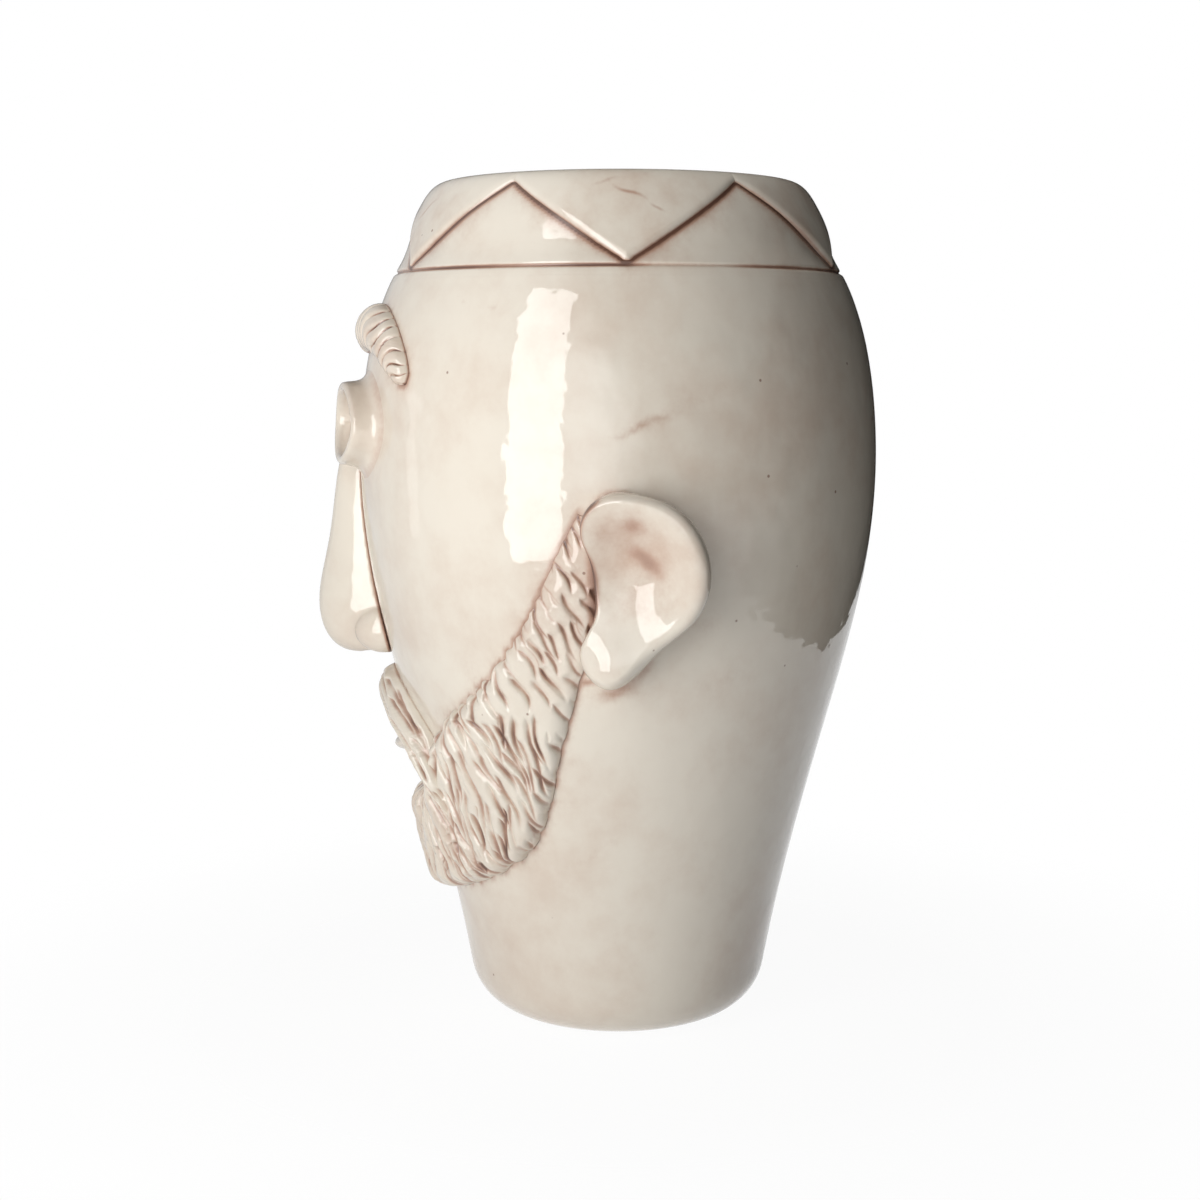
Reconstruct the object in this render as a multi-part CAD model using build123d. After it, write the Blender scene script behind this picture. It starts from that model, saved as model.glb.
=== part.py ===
"""Face vase in glazed earthenware: a hollow vessel with hand-modelled pieces luted to its wall.

Millimetres. +Z is up, the origin is the centre of the foot, and the face looks along -Y.
A place on the wall is an angle and a height. The angle is in degrees from the middle of the face,
positive towards the left ear, which is on the +X side.
"""

import os
from math import cos, degrees, radians, sin

from build123d import *

# Vessel: outline of the outside wall, from the foot to the rim
FOOT_RADIUS = 72.0
FOOT_ROUND = 22.0
WAIST_RADIUS = 100.0
WAIST_HEIGHT = 140.0
BELLY_RADIUS = 123.3
BELLY_HEIGHT = 268.0
RIM_RADIUS = 85.0
RIM_HEIGHT = 393.0
BAND_TALL = 37.0
BAND_FLARE = 20.8
BAND_RADIUS = RIM_RADIUS + BAND_FLARE
BAND_HEIGHT = RIM_HEIGHT - BAND_TALL
FOOT_DIRECTION = (0.18, 1.0)
BAND_DIRECTION = (-0.5, 0.87)
RIM_DIRECTION = (-0.56, 0.83)

# Vessel: thickness and the rounding of the lip's inside edge
WALL = 9.0
FLOOR = 12.0
LIP_ROUND = 3.0

# Bed of slip between the wall and each piece luted to it, and between pieces that meet
SLIP = 0.2

# Crown points: triangular tongues folded down over the rim, spaced by eye
POINT_FIRST_ANGLE = 30.0
POINT_STEPS = (66.0, 67.0, 57.0, 57.0, 56.0, 57.0)
POINT_TIP_HEIGHT = BAND_HEIGHT + 2.5
POINT_TIP_THICK = 2.2
POINT_TIP_ROUND = 4.0
POINT_TIP_DIRECTION = (0.42, -0.9)
POINT_NOTCH_RADIUS = RIM_RADIUS + 5.0
POINT_NOTCH_HEIGHT = RIM_HEIGHT - 1.0
POINT_SHOULDER_RADIUS = RIM_RADIUS + 9.5
POINT_SHOULDER_HEIGHT = RIM_HEIGHT - 7.0
POINT_FOLD_THICK = 7.0
POINT_INNER_THICK = 3.0
POINT_EDGE_ROUND = 1.4

# Ears: places on the outline are given from the root, backwards and up
EAR_ANGLE = 87.0
EAR_HEIGHT = 213.0
EAR_LIFT = 4.0
EAR_FLARE = 10.0
EAR_THICK = 12.0
EAR_TOP = (25.0, 49.8)
EAR_BACK = (56.3, 17.0)
EAR_WAIST = (34.0, -18.5)
EAR_LOBE_BACK = (23.0, -30.4)
EAR_LOBE = (12.0, -36.8)
EAR_LOBE_FRONT = (-1.5, -23.0)
EAR_ROOT = (5.0, 6.0)
EAR_ROOT_TOP = (0.5, 33.0)
EAR_EDGE_ROUND = 4.0
EAR_BOWL_CENTRE = (29.0, 14.0)
EAR_BOWL_HALF_WIDE = 21.0
EAR_BOWL_HALF_TALL = 28.0
EAR_BOWL_DEPTH = 7.5

# Nose: height, width and reach off the wall, from the base up to the brows
NOSE_STATIONS = (
    (174.0, 20.0, 20.0),
    (180.0, 32.0, 29.0),
    (193.0, 35.0, 31.0),
    (215.0, 30.0, 25.0),
    (250.0, 22.0, 15.0),
    (280.0, 17.0, 8.0),
    (304.0, 13.0, 3.0),
)
NOSE_WING_OFFSET = 17.0
NOSE_WING_HEIGHT = 186.0
NOSE_WING_HALF_WIDE = 8.0
NOSE_WING_REACH = 14.0
NOSE_WING_HALF_TALL = 11.0
NOSTRIL_OFFSET = 8.5
NOSTRIL_REACH = 11.0
NOSTRIL_RADIUS = 3.4
NOSTRIL_DEPTH = 9.0

# Eyes: a raised socket round a blank eyeball
EYE_ANGLE = 20.0
FOREHEAD_TALL = 70.0
EYE_HEIGHT = BAND_HEIGHT - FOREHEAD_TALL
EYE_TURN = -5.0
SOCKET_WIDE = 39.0
SOCKET_TALL = 27.0
SOCKET_RIM = 5.5
SOCKET_REACH = 12.0
SOCKET_DRAFT = 18.0
SOCKET_CORNER = 6.0
SOCKET_EDGE_ROUND = 2.0
EYEBALL_WIDE = 29.0
EYEBALL_TALL = 19.0
EYEBALL_REACH = 5.0

# Rolls laid on the wall: angle, height, width and reach off the wall at each station
BROW_STATIONS = (
    (9.0, EYE_HEIGHT + 37.0, 12.0, 5.0),
    (15.0, EYE_HEIGHT + 43.0, 20.0, 9.0),
    (23.0, EYE_HEIGHT + 44.0, 22.0, 9.5),
    (32.0, EYE_HEIGHT + 38.0, 19.0, 8.5),
    (39.0, EYE_HEIGHT + 28.0, 14.0, 7.0),
    (43.0, EYE_HEIGHT + 19.0, 8.0, 5.0),
)
BROW_RIDGES = 9
BROW_GROOVE = 1.6
BROW_SLANT = -16.0

MOUSTACHE_STATIONS = (
    (1.5, 163.0, 11.0, 8.0),
    (10.0, 161.0, 18.0, 11.0),
    (21.0, 152.0, 22.0, 12.0),
    (31.0, 139.0, 20.0, 12.0),
    (38.0, 124.0, 14.0, 13.0),
    (41.0, 112.0, 8.0, 13.5),
)
UPPER_LIP_STATIONS = (
    (-17.0, 141.0, 5.0, 5.0),
    (-7.0, 144.0, 9.0, 8.5),
    (0.0, 143.0, 8.0, 8.0),
    (7.0, 144.0, 9.0, 8.5),
    (17.0, 141.0, 5.0, 5.0),
)
LOWER_LIP_STATIONS = (
    (-15.0, 135.0, 5.0, 5.0),
    (-8.0, 131.5, 11.0, 10.5),
    (0.0, 130.5, 13.0, 12.0),
    (8.0, 131.5, 11.0, 10.5),
    (15.0, 135.0, 5.0, 5.0),
)
BEARD_STATIONS = (
    (87.0, 244.0, 8.0, 5.0),
    (84.5, 214.0, 24.0, 7.0),
    (79.0, 184.0, 36.0, 8.0),
    (70.5, 155.0, 52.0, 9.0),
    (57.5, 126.0, 66.0, 10.0),
    (40.0, 103.0, 66.0, 11.0),
    (20.0, 91.0, 58.0, 12.0),
)
CHIN_STATION = (0.0, 88.0, 54.0, 12.5)
CHIN_HALF_ANGLE = 22.0

# How far the sections of laid pieces go on into the wall before they are cut to it
SINK = 6.0

# Sections to be revolved are drawn on the +X side, which is at this angle from the face
SECTION_ANGLE = 90.0

# How far above and below a place the wall's slope is taken
SLOPE_STEP = 1.0


def vessel_outline(grow: float = 0.0, floor: float = 0.0) -> list:
    """The outline of the vessel in the XZ plane, from a floor to the rim, with every radius grown."""
    heel = Vector(FOOT_RADIUS + grow, 0, FOOT_ROUND)
    foot = Vector(heel.X - (FOOT_ROUND - floor), 0, floor)
    band = Vector(BAND_RADIUS + grow, 0, BAND_HEIGHT)
    rim = Vector(RIM_RADIUS + grow, 0, RIM_HEIGHT)
    foot_direction = Vector(FOOT_DIRECTION[0], 0, FOOT_DIRECTION[1])
    band_direction = Vector(BAND_DIRECTION[0], 0, BAND_DIRECTION[1])
    rim_direction = Vector(RIM_DIRECTION[0], 0, RIM_DIRECTION[1])
    rounding = TangentArc(heel, foot, tangent=-foot_direction)
    flank = Spline(
        heel,
        Vector(WAIST_RADIUS + grow, 0, WAIST_HEIGHT),
        Vector(BELLY_RADIUS + grow, 0, BELLY_HEIGHT),
        band,
        tangents=(foot_direction, band_direction),
    )
    band_wall = Spline(band, rim, tangents=(band_direction, rim_direction))
    return [rounding, flank, band_wall]


def filled_vessel(grow: float, rise: float, floor: float = 0.0) -> Part:
    """The vessel with no hollow, its radii grown and its rim carried straight up by a rise."""
    rounding, flank, band_wall = vessel_outline(grow, floor)
    base = Vector(0, 0, floor)
    rim = band_wall @ 1
    rim_top = rim + Vector(0, 0, rise)
    top = Vector(0, 0, rim_top.Z)
    bottom_line = Line(base, rounding @ 1)
    upright = Line(rim, rim_top) if rise else None
    edges = [bottom_line, rounding, flank, band_wall, upright, Line(rim_top, top), Line(top, base)]
    return revolve(make_face([edge for edge in edges if edge]), axis=Axis.Z)


FLANK, BAND_WALL = vessel_outline()[1:]
SEAT = filled_vessel(SLIP, SLIP)


def wall_radius(height: float) -> float:
    """Radius of the outside wall at a height above the foot's rounding."""
    edge = FLANK if height < BAND_HEIGHT else BAND_WALL
    low, high = 0.0, 1.0
    for _ in range(40):
        middle = (low + high) / 2
        if edge.position_at(middle).Z < height:
            low = middle
        else:
            high = middle
    return edge.position_at(low).X


def outwards(angle: float) -> Vector:
    """The level direction straight out of the wall at an angle."""
    return Vector(sin(radians(angle)), -cos(radians(angle)), 0)


def sideways(angle: float) -> Vector:
    """The level direction round the wall at an angle, away from the face."""
    return Vector(cos(radians(angle)), sin(radians(angle)), 0)


def wall_point(angle: float, height: float) -> Vector:
    """A point on the outside wall."""
    return outwards(angle) * wall_radius(height) + Vector(0, 0, height)


def wall_plane(angle: float, height: float) -> Plane:
    """A plane on the wall: x runs level round it, y up it, and z straight out of it."""
    rise = wall_point(angle, height + SLOPE_STEP) - wall_point(angle, height - SLOPE_STEP)
    return Plane(wall_point(angle, height), x_dir=sideways(angle), z_dir=sideways(angle).cross(rise))


def ellipsoid(half_x: float, half_y: float, half_z: float) -> Part:
    """A ball stretched to three half sizes."""
    return scale(Sphere(1), by=(half_x, half_y, half_z))


def oval(half_x: float, half_y: float) -> Sketch:
    """A closed smooth outline through the ends of its two axes."""
    return make_face(Spline((half_x, 0), (0, half_y), (-half_x, 0), (0, -half_y), periodic=True))


def laid_roll(stations: list, grow: float = 0.0, slant: float = 0.0) -> Part:
    """A roll of clay along the wall: ovals across its path, lofted and not yet cut to the wall."""
    points = [wall_point(angle, height) for angle, height, _, _ in stations]
    sections = []
    for index, (angle, height, width, reach) in enumerate(stations):
        outward = wall_plane(angle, height).z_dir
        along = points[min(index + 1, len(points) - 1)] - points[max(index - 1, 0)]
        plane = Plane(points[index] - outward * SINK, x_dir=outward.cross(along), z_dir=along)
        plane = plane.rotated((0, slant, 0))
        sections.append(plane * oval(width / 2 + grow, reach + SINK + grow))
    return loft(sections)


def ridged_stations(stations: tuple, ridges: int, groove: float) -> list:
    """Stations spread evenly along a roll, every second one drawn in by the depth of a groove."""
    count = 2 * ridges + 1
    spread = []
    for index in range(count):
        place = index * (len(stations) - 1) / (count - 1)
        before = min(int(place), len(stations) - 2)
        share = place - before
        pair = zip(stations[before], stations[before + 1])
        angle, height, width, reach = [start + (end - start) * share for start, end in pair]
        drawn = groove if index % 2 == 0 else 0.0
        spread.append((angle, height, width - drawn, reach - drawn))
    return spread


def mirrored(piece: Part) -> Part:
    """The same piece on the other side of the face."""
    return mirror(piece, about=Plane.YZ)


def vase_body() -> Part:
    """The hollow vessel: floor, wall, crown band and rim in one."""
    body = filled_vessel(0.0, 0.0) - filled_vessel(-WALL, WALL, FLOOR)
    lip = body.edges().group_by(Axis.Z)[-1].sort_by(SortBy.RADIUS)[0]
    return fillet(lip, LIP_ROUND)


def point_section() -> Sketch:
    """Section of the folded collar that the crown points are cut from, in the XZ plane."""
    inner = RIM_RADIUS - WALL
    tip = wall_radius(POINT_TIP_HEIGHT)
    under_tip = Vector(tip - SINK, 0, POINT_TIP_HEIGHT)
    over_tip = Vector(tip + POINT_TIP_THICK, 0, POINT_TIP_HEIGHT)
    top = Vector(inner + WALL / 2, 0, RIM_HEIGHT + POINT_FOLD_THICK)
    inner_edge = Vector(inner, 0, RIM_HEIGHT + POINT_INNER_THICK)
    under_edge = Vector(inner, 0, POINT_TIP_HEIGHT)
    shoulder = Vector(POINT_SHOULDER_RADIUS, 0, POINT_SHOULDER_HEIGHT)
    tip_direction = Vector(POINT_TIP_DIRECTION[0], 0, POINT_TIP_DIRECTION[1])
    bend = TangentArc(top, inner_edge, tangent=(-1, 0, 0))
    fold = Spline(top, shoulder, over_tip, tangents=((1, 0, 0), tip_direction))
    corners = (over_tip, under_tip, under_edge, inner_edge)
    return make_face([bend, fold, *(Line(*ends) for ends in zip(corners, corners[1:]))])


def crown_point(angle: float, step_before: float, step_after: float) -> Part:
    """One tongue of the crown: a stretch of the folded collar, trimmed to a point that hangs down."""
    joint = degrees(SLIP / RIM_RADIUS)
    span = (step_before + step_after) / 2 - joint
    collar = revolve(point_section(), axis=Axis.Z, revolution_arc=span)
    collar = Rot(0, 0, angle - step_before / 2 + joint / 2 - SECTION_ANGLE) * collar
    before = POINT_NOTCH_RADIUS * sin(radians(step_before / 2))
    after = POINT_NOTCH_RADIUS * sin(radians(step_after / 2))
    top = RIM_HEIGHT + 2 * POINT_FOLD_THICK
    sides = [(-before, top), (-before, POINT_NOTCH_HEIGHT), (after, POINT_NOTCH_HEIGHT), (after, top)]
    sides.insert(2, (0, POINT_TIP_HEIGHT))
    face = make_face(Polyline(*sides, close=True))
    face = fillet(face.vertices().sort_by(Axis.Y)[0], POINT_TIP_ROUND)
    trim = extrude(Plane((0, 0, 0), x_dir=sideways(angle), z_dir=outwards(angle)) * face, 2 * BELLY_RADIUS)
    tongue = collar & trim
    fold = tongue.faces().sort_by(SortBy.AREA)[-1]
    edges = fold.edges().filter_by(lambda edge: edge.center().Z < POINT_NOTCH_HEIGHT)
    return fillet(edges, POINT_EDGE_ROUND) - SEAT


def crown_points() -> dict:
    """The tongues of the crown round the rim, named in order from the left of the face."""
    points = {}
    angle = POINT_FIRST_ANGLE
    for index, step in enumerate(POINT_STEPS):
        points[f"crown_point_{index + 1}"] = crown_point(angle, POINT_STEPS[index - 1], step)
        angle += step
    return points


def ear_plane() -> Plane:
    """The middle plane of the left ear, turned so that its back edge stands off the wall."""
    return wall_plane(EAR_ANGLE, EAR_HEIGHT).offset(EAR_LIFT).rotated((0, -EAR_FLARE, 0))


def ear_blank(grow: float = 0.0) -> Part:
    """The left ear as a plate with the ear's outline, which may be grown away from the bowl."""
    centre = Vector(*EAR_BOWL_CENTRE)
    lobe = (EAR_LOBE_BACK, EAR_LOBE, EAR_LOBE_FRONT)
    places = (EAR_TOP, EAR_BACK, EAR_WAIST, *lobe, EAR_ROOT, EAR_ROOT_TOP)
    rays = [Vector(*place) - centre for place in places]
    outline = Spline(*(centre + ray + ray.normalized() * grow for ray in rays), periodic=True)
    return extrude(ear_plane() * make_face(outline), EAR_THICK / 2 + grow, both=True)


def ear() -> Part:
    """The left ear: a rounded plate hollowed to a bowl, seated on the wall along its root."""
    plate = ear_blank()
    plate = fillet(plate.edges(), EAR_EDGE_ROUND)
    bowl = Pos(*EAR_BOWL_CENTRE, EAR_THICK / 2)
    bowl *= ellipsoid(EAR_BOWL_HALF_WIDE, EAR_BOWL_HALF_TALL, EAR_BOWL_DEPTH)
    return plate - ear_plane() * bowl - SEAT


def nose() -> Part:
    """The nose: level ovals lofted up to the brows, with a wing and a nostril on each side."""
    sections = []
    for height, width, reach in NOSE_STATIONS:
        plane = Plane(Vector(0, SINK - wall_radius(height), height))
        sections.append(plane * oval(width / 2, reach + SINK))
    ridge = loft(sections)
    base = NOSE_STATIONS[0][0]
    for side in (-1, 1):
        wing = Pos(side * NOSE_WING_OFFSET, -wall_radius(NOSE_WING_HEIGHT), NOSE_WING_HEIGHT)
        ridge += wing * ellipsoid(NOSE_WING_HALF_WIDE, NOSE_WING_REACH, NOSE_WING_HALF_TALL)
    for side in (-1, 1):
        hole = Pos(side * NOSTRIL_OFFSET, -wall_radius(base) - NOSTRIL_REACH, base)
        ridge -= hole * Cylinder(NOSTRIL_RADIUS, 2 * NOSTRIL_DEPTH)
    return ridge - SEAT


def almond(width: float, height: float, corner: float) -> Sketch:
    """An almond of two arcs, with its two corners rounded."""
    left, right = (-width / 2, 0), (width / 2, 0)
    upper = ThreePointArc(left, (0, height / 2), right)
    lower = ThreePointArc(right, (0, -height / 2), left)
    face = make_face([upper, lower])
    return fillet(face.vertices(), corner)


def eye_plane() -> Plane:
    """The plane of the left eye on the wall."""
    return wall_plane(EYE_ANGLE, EYE_HEIGHT).rotated((0, 0, EYE_TURN))


def eye_socket() -> Part:
    """The raised rim of the left eye, wider at the wall than at its lip."""
    outer = almond(SOCKET_WIDE + 2 * SOCKET_RIM, SOCKET_TALL + 2 * SOCKET_RIM, SOCKET_CORNER + SOCKET_RIM)
    inner = almond(SOCKET_WIDE, SOCKET_TALL, SOCKET_CORNER)
    lip = eye_plane().offset(SOCKET_REACH)
    depth = SOCKET_REACH + 2 * SINK
    rim = extrude(lip * outer, -depth, taper=-SOCKET_DRAFT)
    rim -= extrude(lip * inner, -depth)
    edges = rim.faces().sort_by(Axis(lip.origin, lip.z_dir))[-1].edges()
    return fillet(edges, SOCKET_EDGE_ROUND) - SEAT


def eyeball() -> Part:
    """The blank left eyeball, a low dome on the wall inside its socket."""
    dome = ellipsoid(EYEBALL_WIDE / 2, EYEBALL_TALL / 2, EYEBALL_REACH)
    return eye_plane() * dome - SEAT


def brow() -> Part:
    """The left brow: a tapering roll pressed into slanting ridges."""
    return laid_roll(ridged_stations(BROW_STATIONS, BROW_RIDGES, BROW_GROOVE), slant=BROW_SLANT) - SEAT


def moustache(grow: float = 0.0) -> Part:
    """The left half of the moustache."""
    return laid_roll(MOUSTACHE_STATIONS, grow)


def lip(stations: tuple) -> Part:
    """One lip, cut to clear the wall and both halves of the moustache."""
    roll = laid_roll(stations) - SEAT
    cover = moustache(SLIP)
    return roll - cover - mirrored(cover)


def beyond(angle: float, gap: float) -> Part:
    """All the room past a joint that stands upright across the wall at an angle, less a gap."""
    reach = 2 * (RIM_HEIGHT + BELLY_RADIUS)
    joint = Plane((0, 0, 0), z_dir=sideways(angle))
    return joint.offset(reach / 2 + gap) * Box(reach, reach, reach)


def beard_pieces() -> dict:
    """The beard as it is laid on: a piece down each cheek and one across the chin."""
    other_side = [(-angle, *sizes) for angle, *sizes in reversed(BEARD_STATIONS)]
    roll = laid_roll([*BEARD_STATIONS, CHIN_STATION, *other_side])
    cheek = (roll & beyond(CHIN_HALF_ANGLE, SLIP / 2)) - SEAT - ear_blank(SLIP) - moustache(SLIP)
    past_joint = beyond(CHIN_HALF_ANGLE, -SLIP / 2)
    chin = roll - past_joint - mirrored(past_joint) - SEAT
    return {"beard_left": cheek, "beard_right": mirrored(cheek), "beard_chin": chin}


def pairs() -> dict:
    """The pieces that come in a left and a right."""
    lefts = {
        "ear": ear(),
        "brow": brow(),
        "eye_socket": eye_socket(),
        "eyeball": eyeball(),
        "moustache": moustache() - SEAT,
    }
    pieces = {}
    for name, piece in lefts.items():
        pieces[f"{name}_left"] = piece
        pieces[f"{name}_right"] = mirrored(piece)
    return pieces


def main() -> None:
    """Builds every piece and writes it to its own file."""
    pieces = {
        "vase_body": vase_body(),
        **crown_points(),
        **pairs(),
        "nose": nose(),
        "upper_lip": lip(UPPER_LIP_STATIONS),
        "lower_lip": lip(LOWER_LIP_STATIONS),
        **beard_pieces(),
    }
    os.makedirs("parts", exist_ok=True)
    for name, piece in pieces.items():
        export_step(piece, f"parts/{name}.step")


main()
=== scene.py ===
"""Looks of a glazed face vase: its clay pieces, their glaze, and the studio that shows them.

Lengths are millimetres until a mesh is made. A place on the wall is an angle and a height. The angle is in
degrees from the middle of the face, positive towards the left ear, which is on the +X side.
"""

import logging
import math
from dataclasses import dataclass, field
from enum import Enum
from typing import Callable, Iterable, Optional, Union

import bmesh
import bpy
import numpy as np
from mathutils import Matrix, Vector
from mathutils.kdtree import KDTree


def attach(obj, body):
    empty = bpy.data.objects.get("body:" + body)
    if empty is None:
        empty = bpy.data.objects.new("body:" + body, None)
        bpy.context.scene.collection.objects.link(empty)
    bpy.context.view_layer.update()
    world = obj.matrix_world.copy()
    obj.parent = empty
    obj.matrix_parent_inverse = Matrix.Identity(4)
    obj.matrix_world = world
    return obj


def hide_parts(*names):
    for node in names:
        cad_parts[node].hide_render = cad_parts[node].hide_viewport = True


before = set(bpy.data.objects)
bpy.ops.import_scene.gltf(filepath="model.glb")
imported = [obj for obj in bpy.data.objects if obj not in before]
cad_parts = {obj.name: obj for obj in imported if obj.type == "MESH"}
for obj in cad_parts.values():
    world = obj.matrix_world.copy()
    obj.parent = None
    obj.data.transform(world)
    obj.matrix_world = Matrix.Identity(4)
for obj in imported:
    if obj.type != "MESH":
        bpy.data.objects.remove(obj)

LOG = logging.getLogger("face_vase")
MM = 0.001
MERGE = 0.00002  # metres between points that count as one
SKIN = 4.0  # millimetres under the outside that still count as outside
BODY = "root"
# Name of the number on each point that sets the brown wash: oxide, and round the crown and under the ears painted
# shade too.
WASH = "wash"
CHART = 1.9  # millimetres of the wall chart for a degree round the wall


class Slot(Enum):
    """Material slots that the record gives the pieces."""

    WALL = "glazed_wall"
    RELIEF = "glazed_relief"


class Side(Enum):
    """Side of the face that a piece lies on, as the sign of its angles."""

    LEFT = 1
    RIGHT = -1

    def named(self, piece: str) -> str:
        """A piece's name on this side."""
        return f"{piece}_{self.name.lower()}"

    def flip(self) -> np.ndarray:
        """What turns places on the left half into places on this side."""
        return np.array((self.value, 1.0))


# Node trees


def sums(operation: str, swapped: bool = False) -> Callable:
    """Makes an arithmetic method of a node tree's values.

    Args:
        operation: Operation of the Math node that the method adds.
        swapped: True where the method's own value is the second operand.

    Returns:
        The method.
    """
    def method(self: "Value", other: "Operand") -> "Value":
        """The Math node's result."""
        pair = (other, self) if swapped else (self, other)
        return self.tree.node("ShaderNodeMath", {"operation": operation}, dict(enumerate(pair)))

    return method


class Value:
    """A socket of a node tree that takes part in sums like a number."""

    __add__, __radd__ = sums("ADD"), sums("ADD", swapped=True)
    __sub__, __rsub__ = sums("SUBTRACT"), sums("SUBTRACT", swapped=True)
    __mul__, __rmul__ = sums("MULTIPLY"), sums("MULTIPLY", swapped=True)
    __truediv__, __mod__, __pow__ = sums("DIVIDE"), sums("MODULO"), sums("POWER")

    def __init__(self, tree: "Tree", socket: bpy.types.NodeSocket) -> None:
        """Keeps the socket and the tree that it belongs to."""
        self.tree = tree
        self.socket = socket

    def call(self, operation: str, other: "Operand" = 0.0) -> "Value":
        """The Math node of any other operation, such as SINE, MAXIMUM or GREATER_THAN."""
        return sums(operation)(self, other)


Operand = Union[Value, float]


class Tree:
    """A node tree, with one method that adds any node."""

    def __init__(self, tree: bpy.types.NodeTree) -> None:
        """Keeps the tree to be filled."""
        self.tree = tree

    def node(self, kind: str, settings: Optional[dict] = None, inputs: Optional[dict] = None,
             output: Union[int, str] = 0) -> Value:
        """Adds a node.

        Args:
            kind: The node's type.
            settings: Its properties by name.
            inputs: Values or links of its sockets, by place or name.
            output: Place or name of the socket to return.

        Returns:
            One of the node's outputs.
        """
        node = self.tree.nodes.new(kind)
        for name, value in (settings or {}).items():
            setattr(node, name, value)
        for key, value in (inputs or {}).items():
            if isinstance(value, Value):
                self.tree.links.new(value.socket, node.inputs[key])
            else:
                node.inputs[key].default_value = value
        return Value(self, node.outputs[output]) if node.outputs else Value(self, None)

    def twin(self, value: Value, output: Union[int, str]) -> Value:
        """Another output of the node that a value comes from."""
        return Value(self, value.socket.node.outputs[output])

    def blend(self, factor: Operand, first: Union[Value, tuple], second: Union[Value, tuple]) -> Value:
        """A colour between two colours."""
        sockets = {0: factor, 6: first, 7: second}
        return self.node("ShaderNodeMix", {"data_type": "RGBA"}, sockets, output=2)

    def smooth(self, value: Operand, low: float, high: float) -> Value:
        """A value eased from 0 at low to 1 at high."""
        settings = {"interpolation_type": "SMOOTHSTEP"}
        return self.node("ShaderNodeMapRange", settings, {0: value, 1: low, 2: high})

    def vector(self, *numbers: Value) -> Value:
        """A vector of three numbers."""
        return self.node("ShaderNodeCombineXYZ", {}, dict(enumerate(numbers)))

    def toward(self, place: Value, way: Vector) -> Value:
        """How far a place lies along a direction."""
        return self.node("ShaderNodeVectorMath", {"operation": "DOT_PRODUCT"}, {0: place, 1: way}, output="Value")


def blank_tree(owner: Union[bpy.types.Material, bpy.types.World]) -> Tree:
    """Empties the node tree of a material or a world.

    Args:
        owner: The material or world.

    Returns:
        Its tree.
    """
    owner.use_nodes = True
    owner.node_tree.nodes.clear()
    return Tree(owner.node_tree)


def settle(obj: bpy.types.Object) -> None:
    """Turns what an object's modifiers make into its own plain mesh.

    Args:
        obj: The object, whose modifiers are removed.
    """
    graph = bpy.context.evaluated_depsgraph_get()
    mesh = bpy.data.meshes.new_from_object(obj.evaluated_get(graph))
    obj.modifiers.clear()
    old, obj.data = obj.data, mesh
    bpy.data.meshes.remove(old)


class GeometryTree(Tree):
    """A geometry node tree with named inputs, turned into a plain mesh once it has run."""

    def __init__(self, name: str) -> None:
        """Starts a tree that takes a mesh and gives a mesh.

        Args:
            name: The tree's name.
        """
        super().__init__(bpy.data.node_groups.new(name, "GeometryNodeTree"))
        self.identifiers: dict[str, str] = {}
        self._socket("Geometry", "INPUT", "NodeSocketGeometry")
        self._socket("Geometry", "OUTPUT", "NodeSocketGeometry")
        self.entry = self.tree.nodes.new("NodeGroupInput")

    def _socket(self, name: str, way: str, kind: str) -> bpy.types.NodeTreeInterfaceSocket:
        """Adds a socket to the tree's face."""
        return self.tree.interface.new_socket(name, in_out=way, socket_type=kind)

    def input(self, name: str, kind: str = "NodeSocketFloat") -> Value:
        """A named input of the tree."""
        self.identifiers[name] = self._socket(name, "INPUT", kind).identifier
        return Value(self, self.entry.outputs[name])

    def attribute(self, name: str) -> Value:
        """A number that the incoming mesh carries on its points."""
        return self.node("GeometryNodeInputNamedAttribute", {"data_type": "FLOAT"}, {"Name": name})

    def geometry(self) -> Value:
        """The incoming mesh."""
        return Value(self, self.entry.outputs["Geometry"])

    def close(self, mesh: Value, material: bpy.types.Material) -> None:
        """Ends the tree: smooth shading, real faces and the material.

        Args:
            mesh: The mesh that the tree gives.
            material: Its glaze.
        """
        mesh = self.node("GeometryNodeSetShadeSmooth", {}, {"Geometry": mesh, "Shade Smooth": True})
        mesh = self.node("GeometryNodeRealizeInstances", {}, {"Geometry": mesh})
        mesh = self.node("GeometryNodeSetMaterial", {}, {"Geometry": mesh, "Material": material})
        self.node("NodeGroupOutput", {}, {"Geometry": mesh})

    def run(self, obj: bpy.types.Object, values: dict) -> None:
        """Runs the tree on an object and leaves a plain mesh.

        Args:
            obj: The object whose mesh goes in and is replaced.
            values: The tree's inputs by name.
        """
        modifier = obj.modifiers.new(self.tree.name, "NODES")
        modifier.node_group = self.tree
        for name, value in values.items():
            modifier[self.identifiers[name]] = value
        settle(obj)


# Glaze


@dataclass(frozen=True)
class Coat:
    """A colour that the oxide takes on as its wash thickens over a span, up to a share that it covers."""

    colour: tuple
    span: tuple
    cover: float


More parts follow.
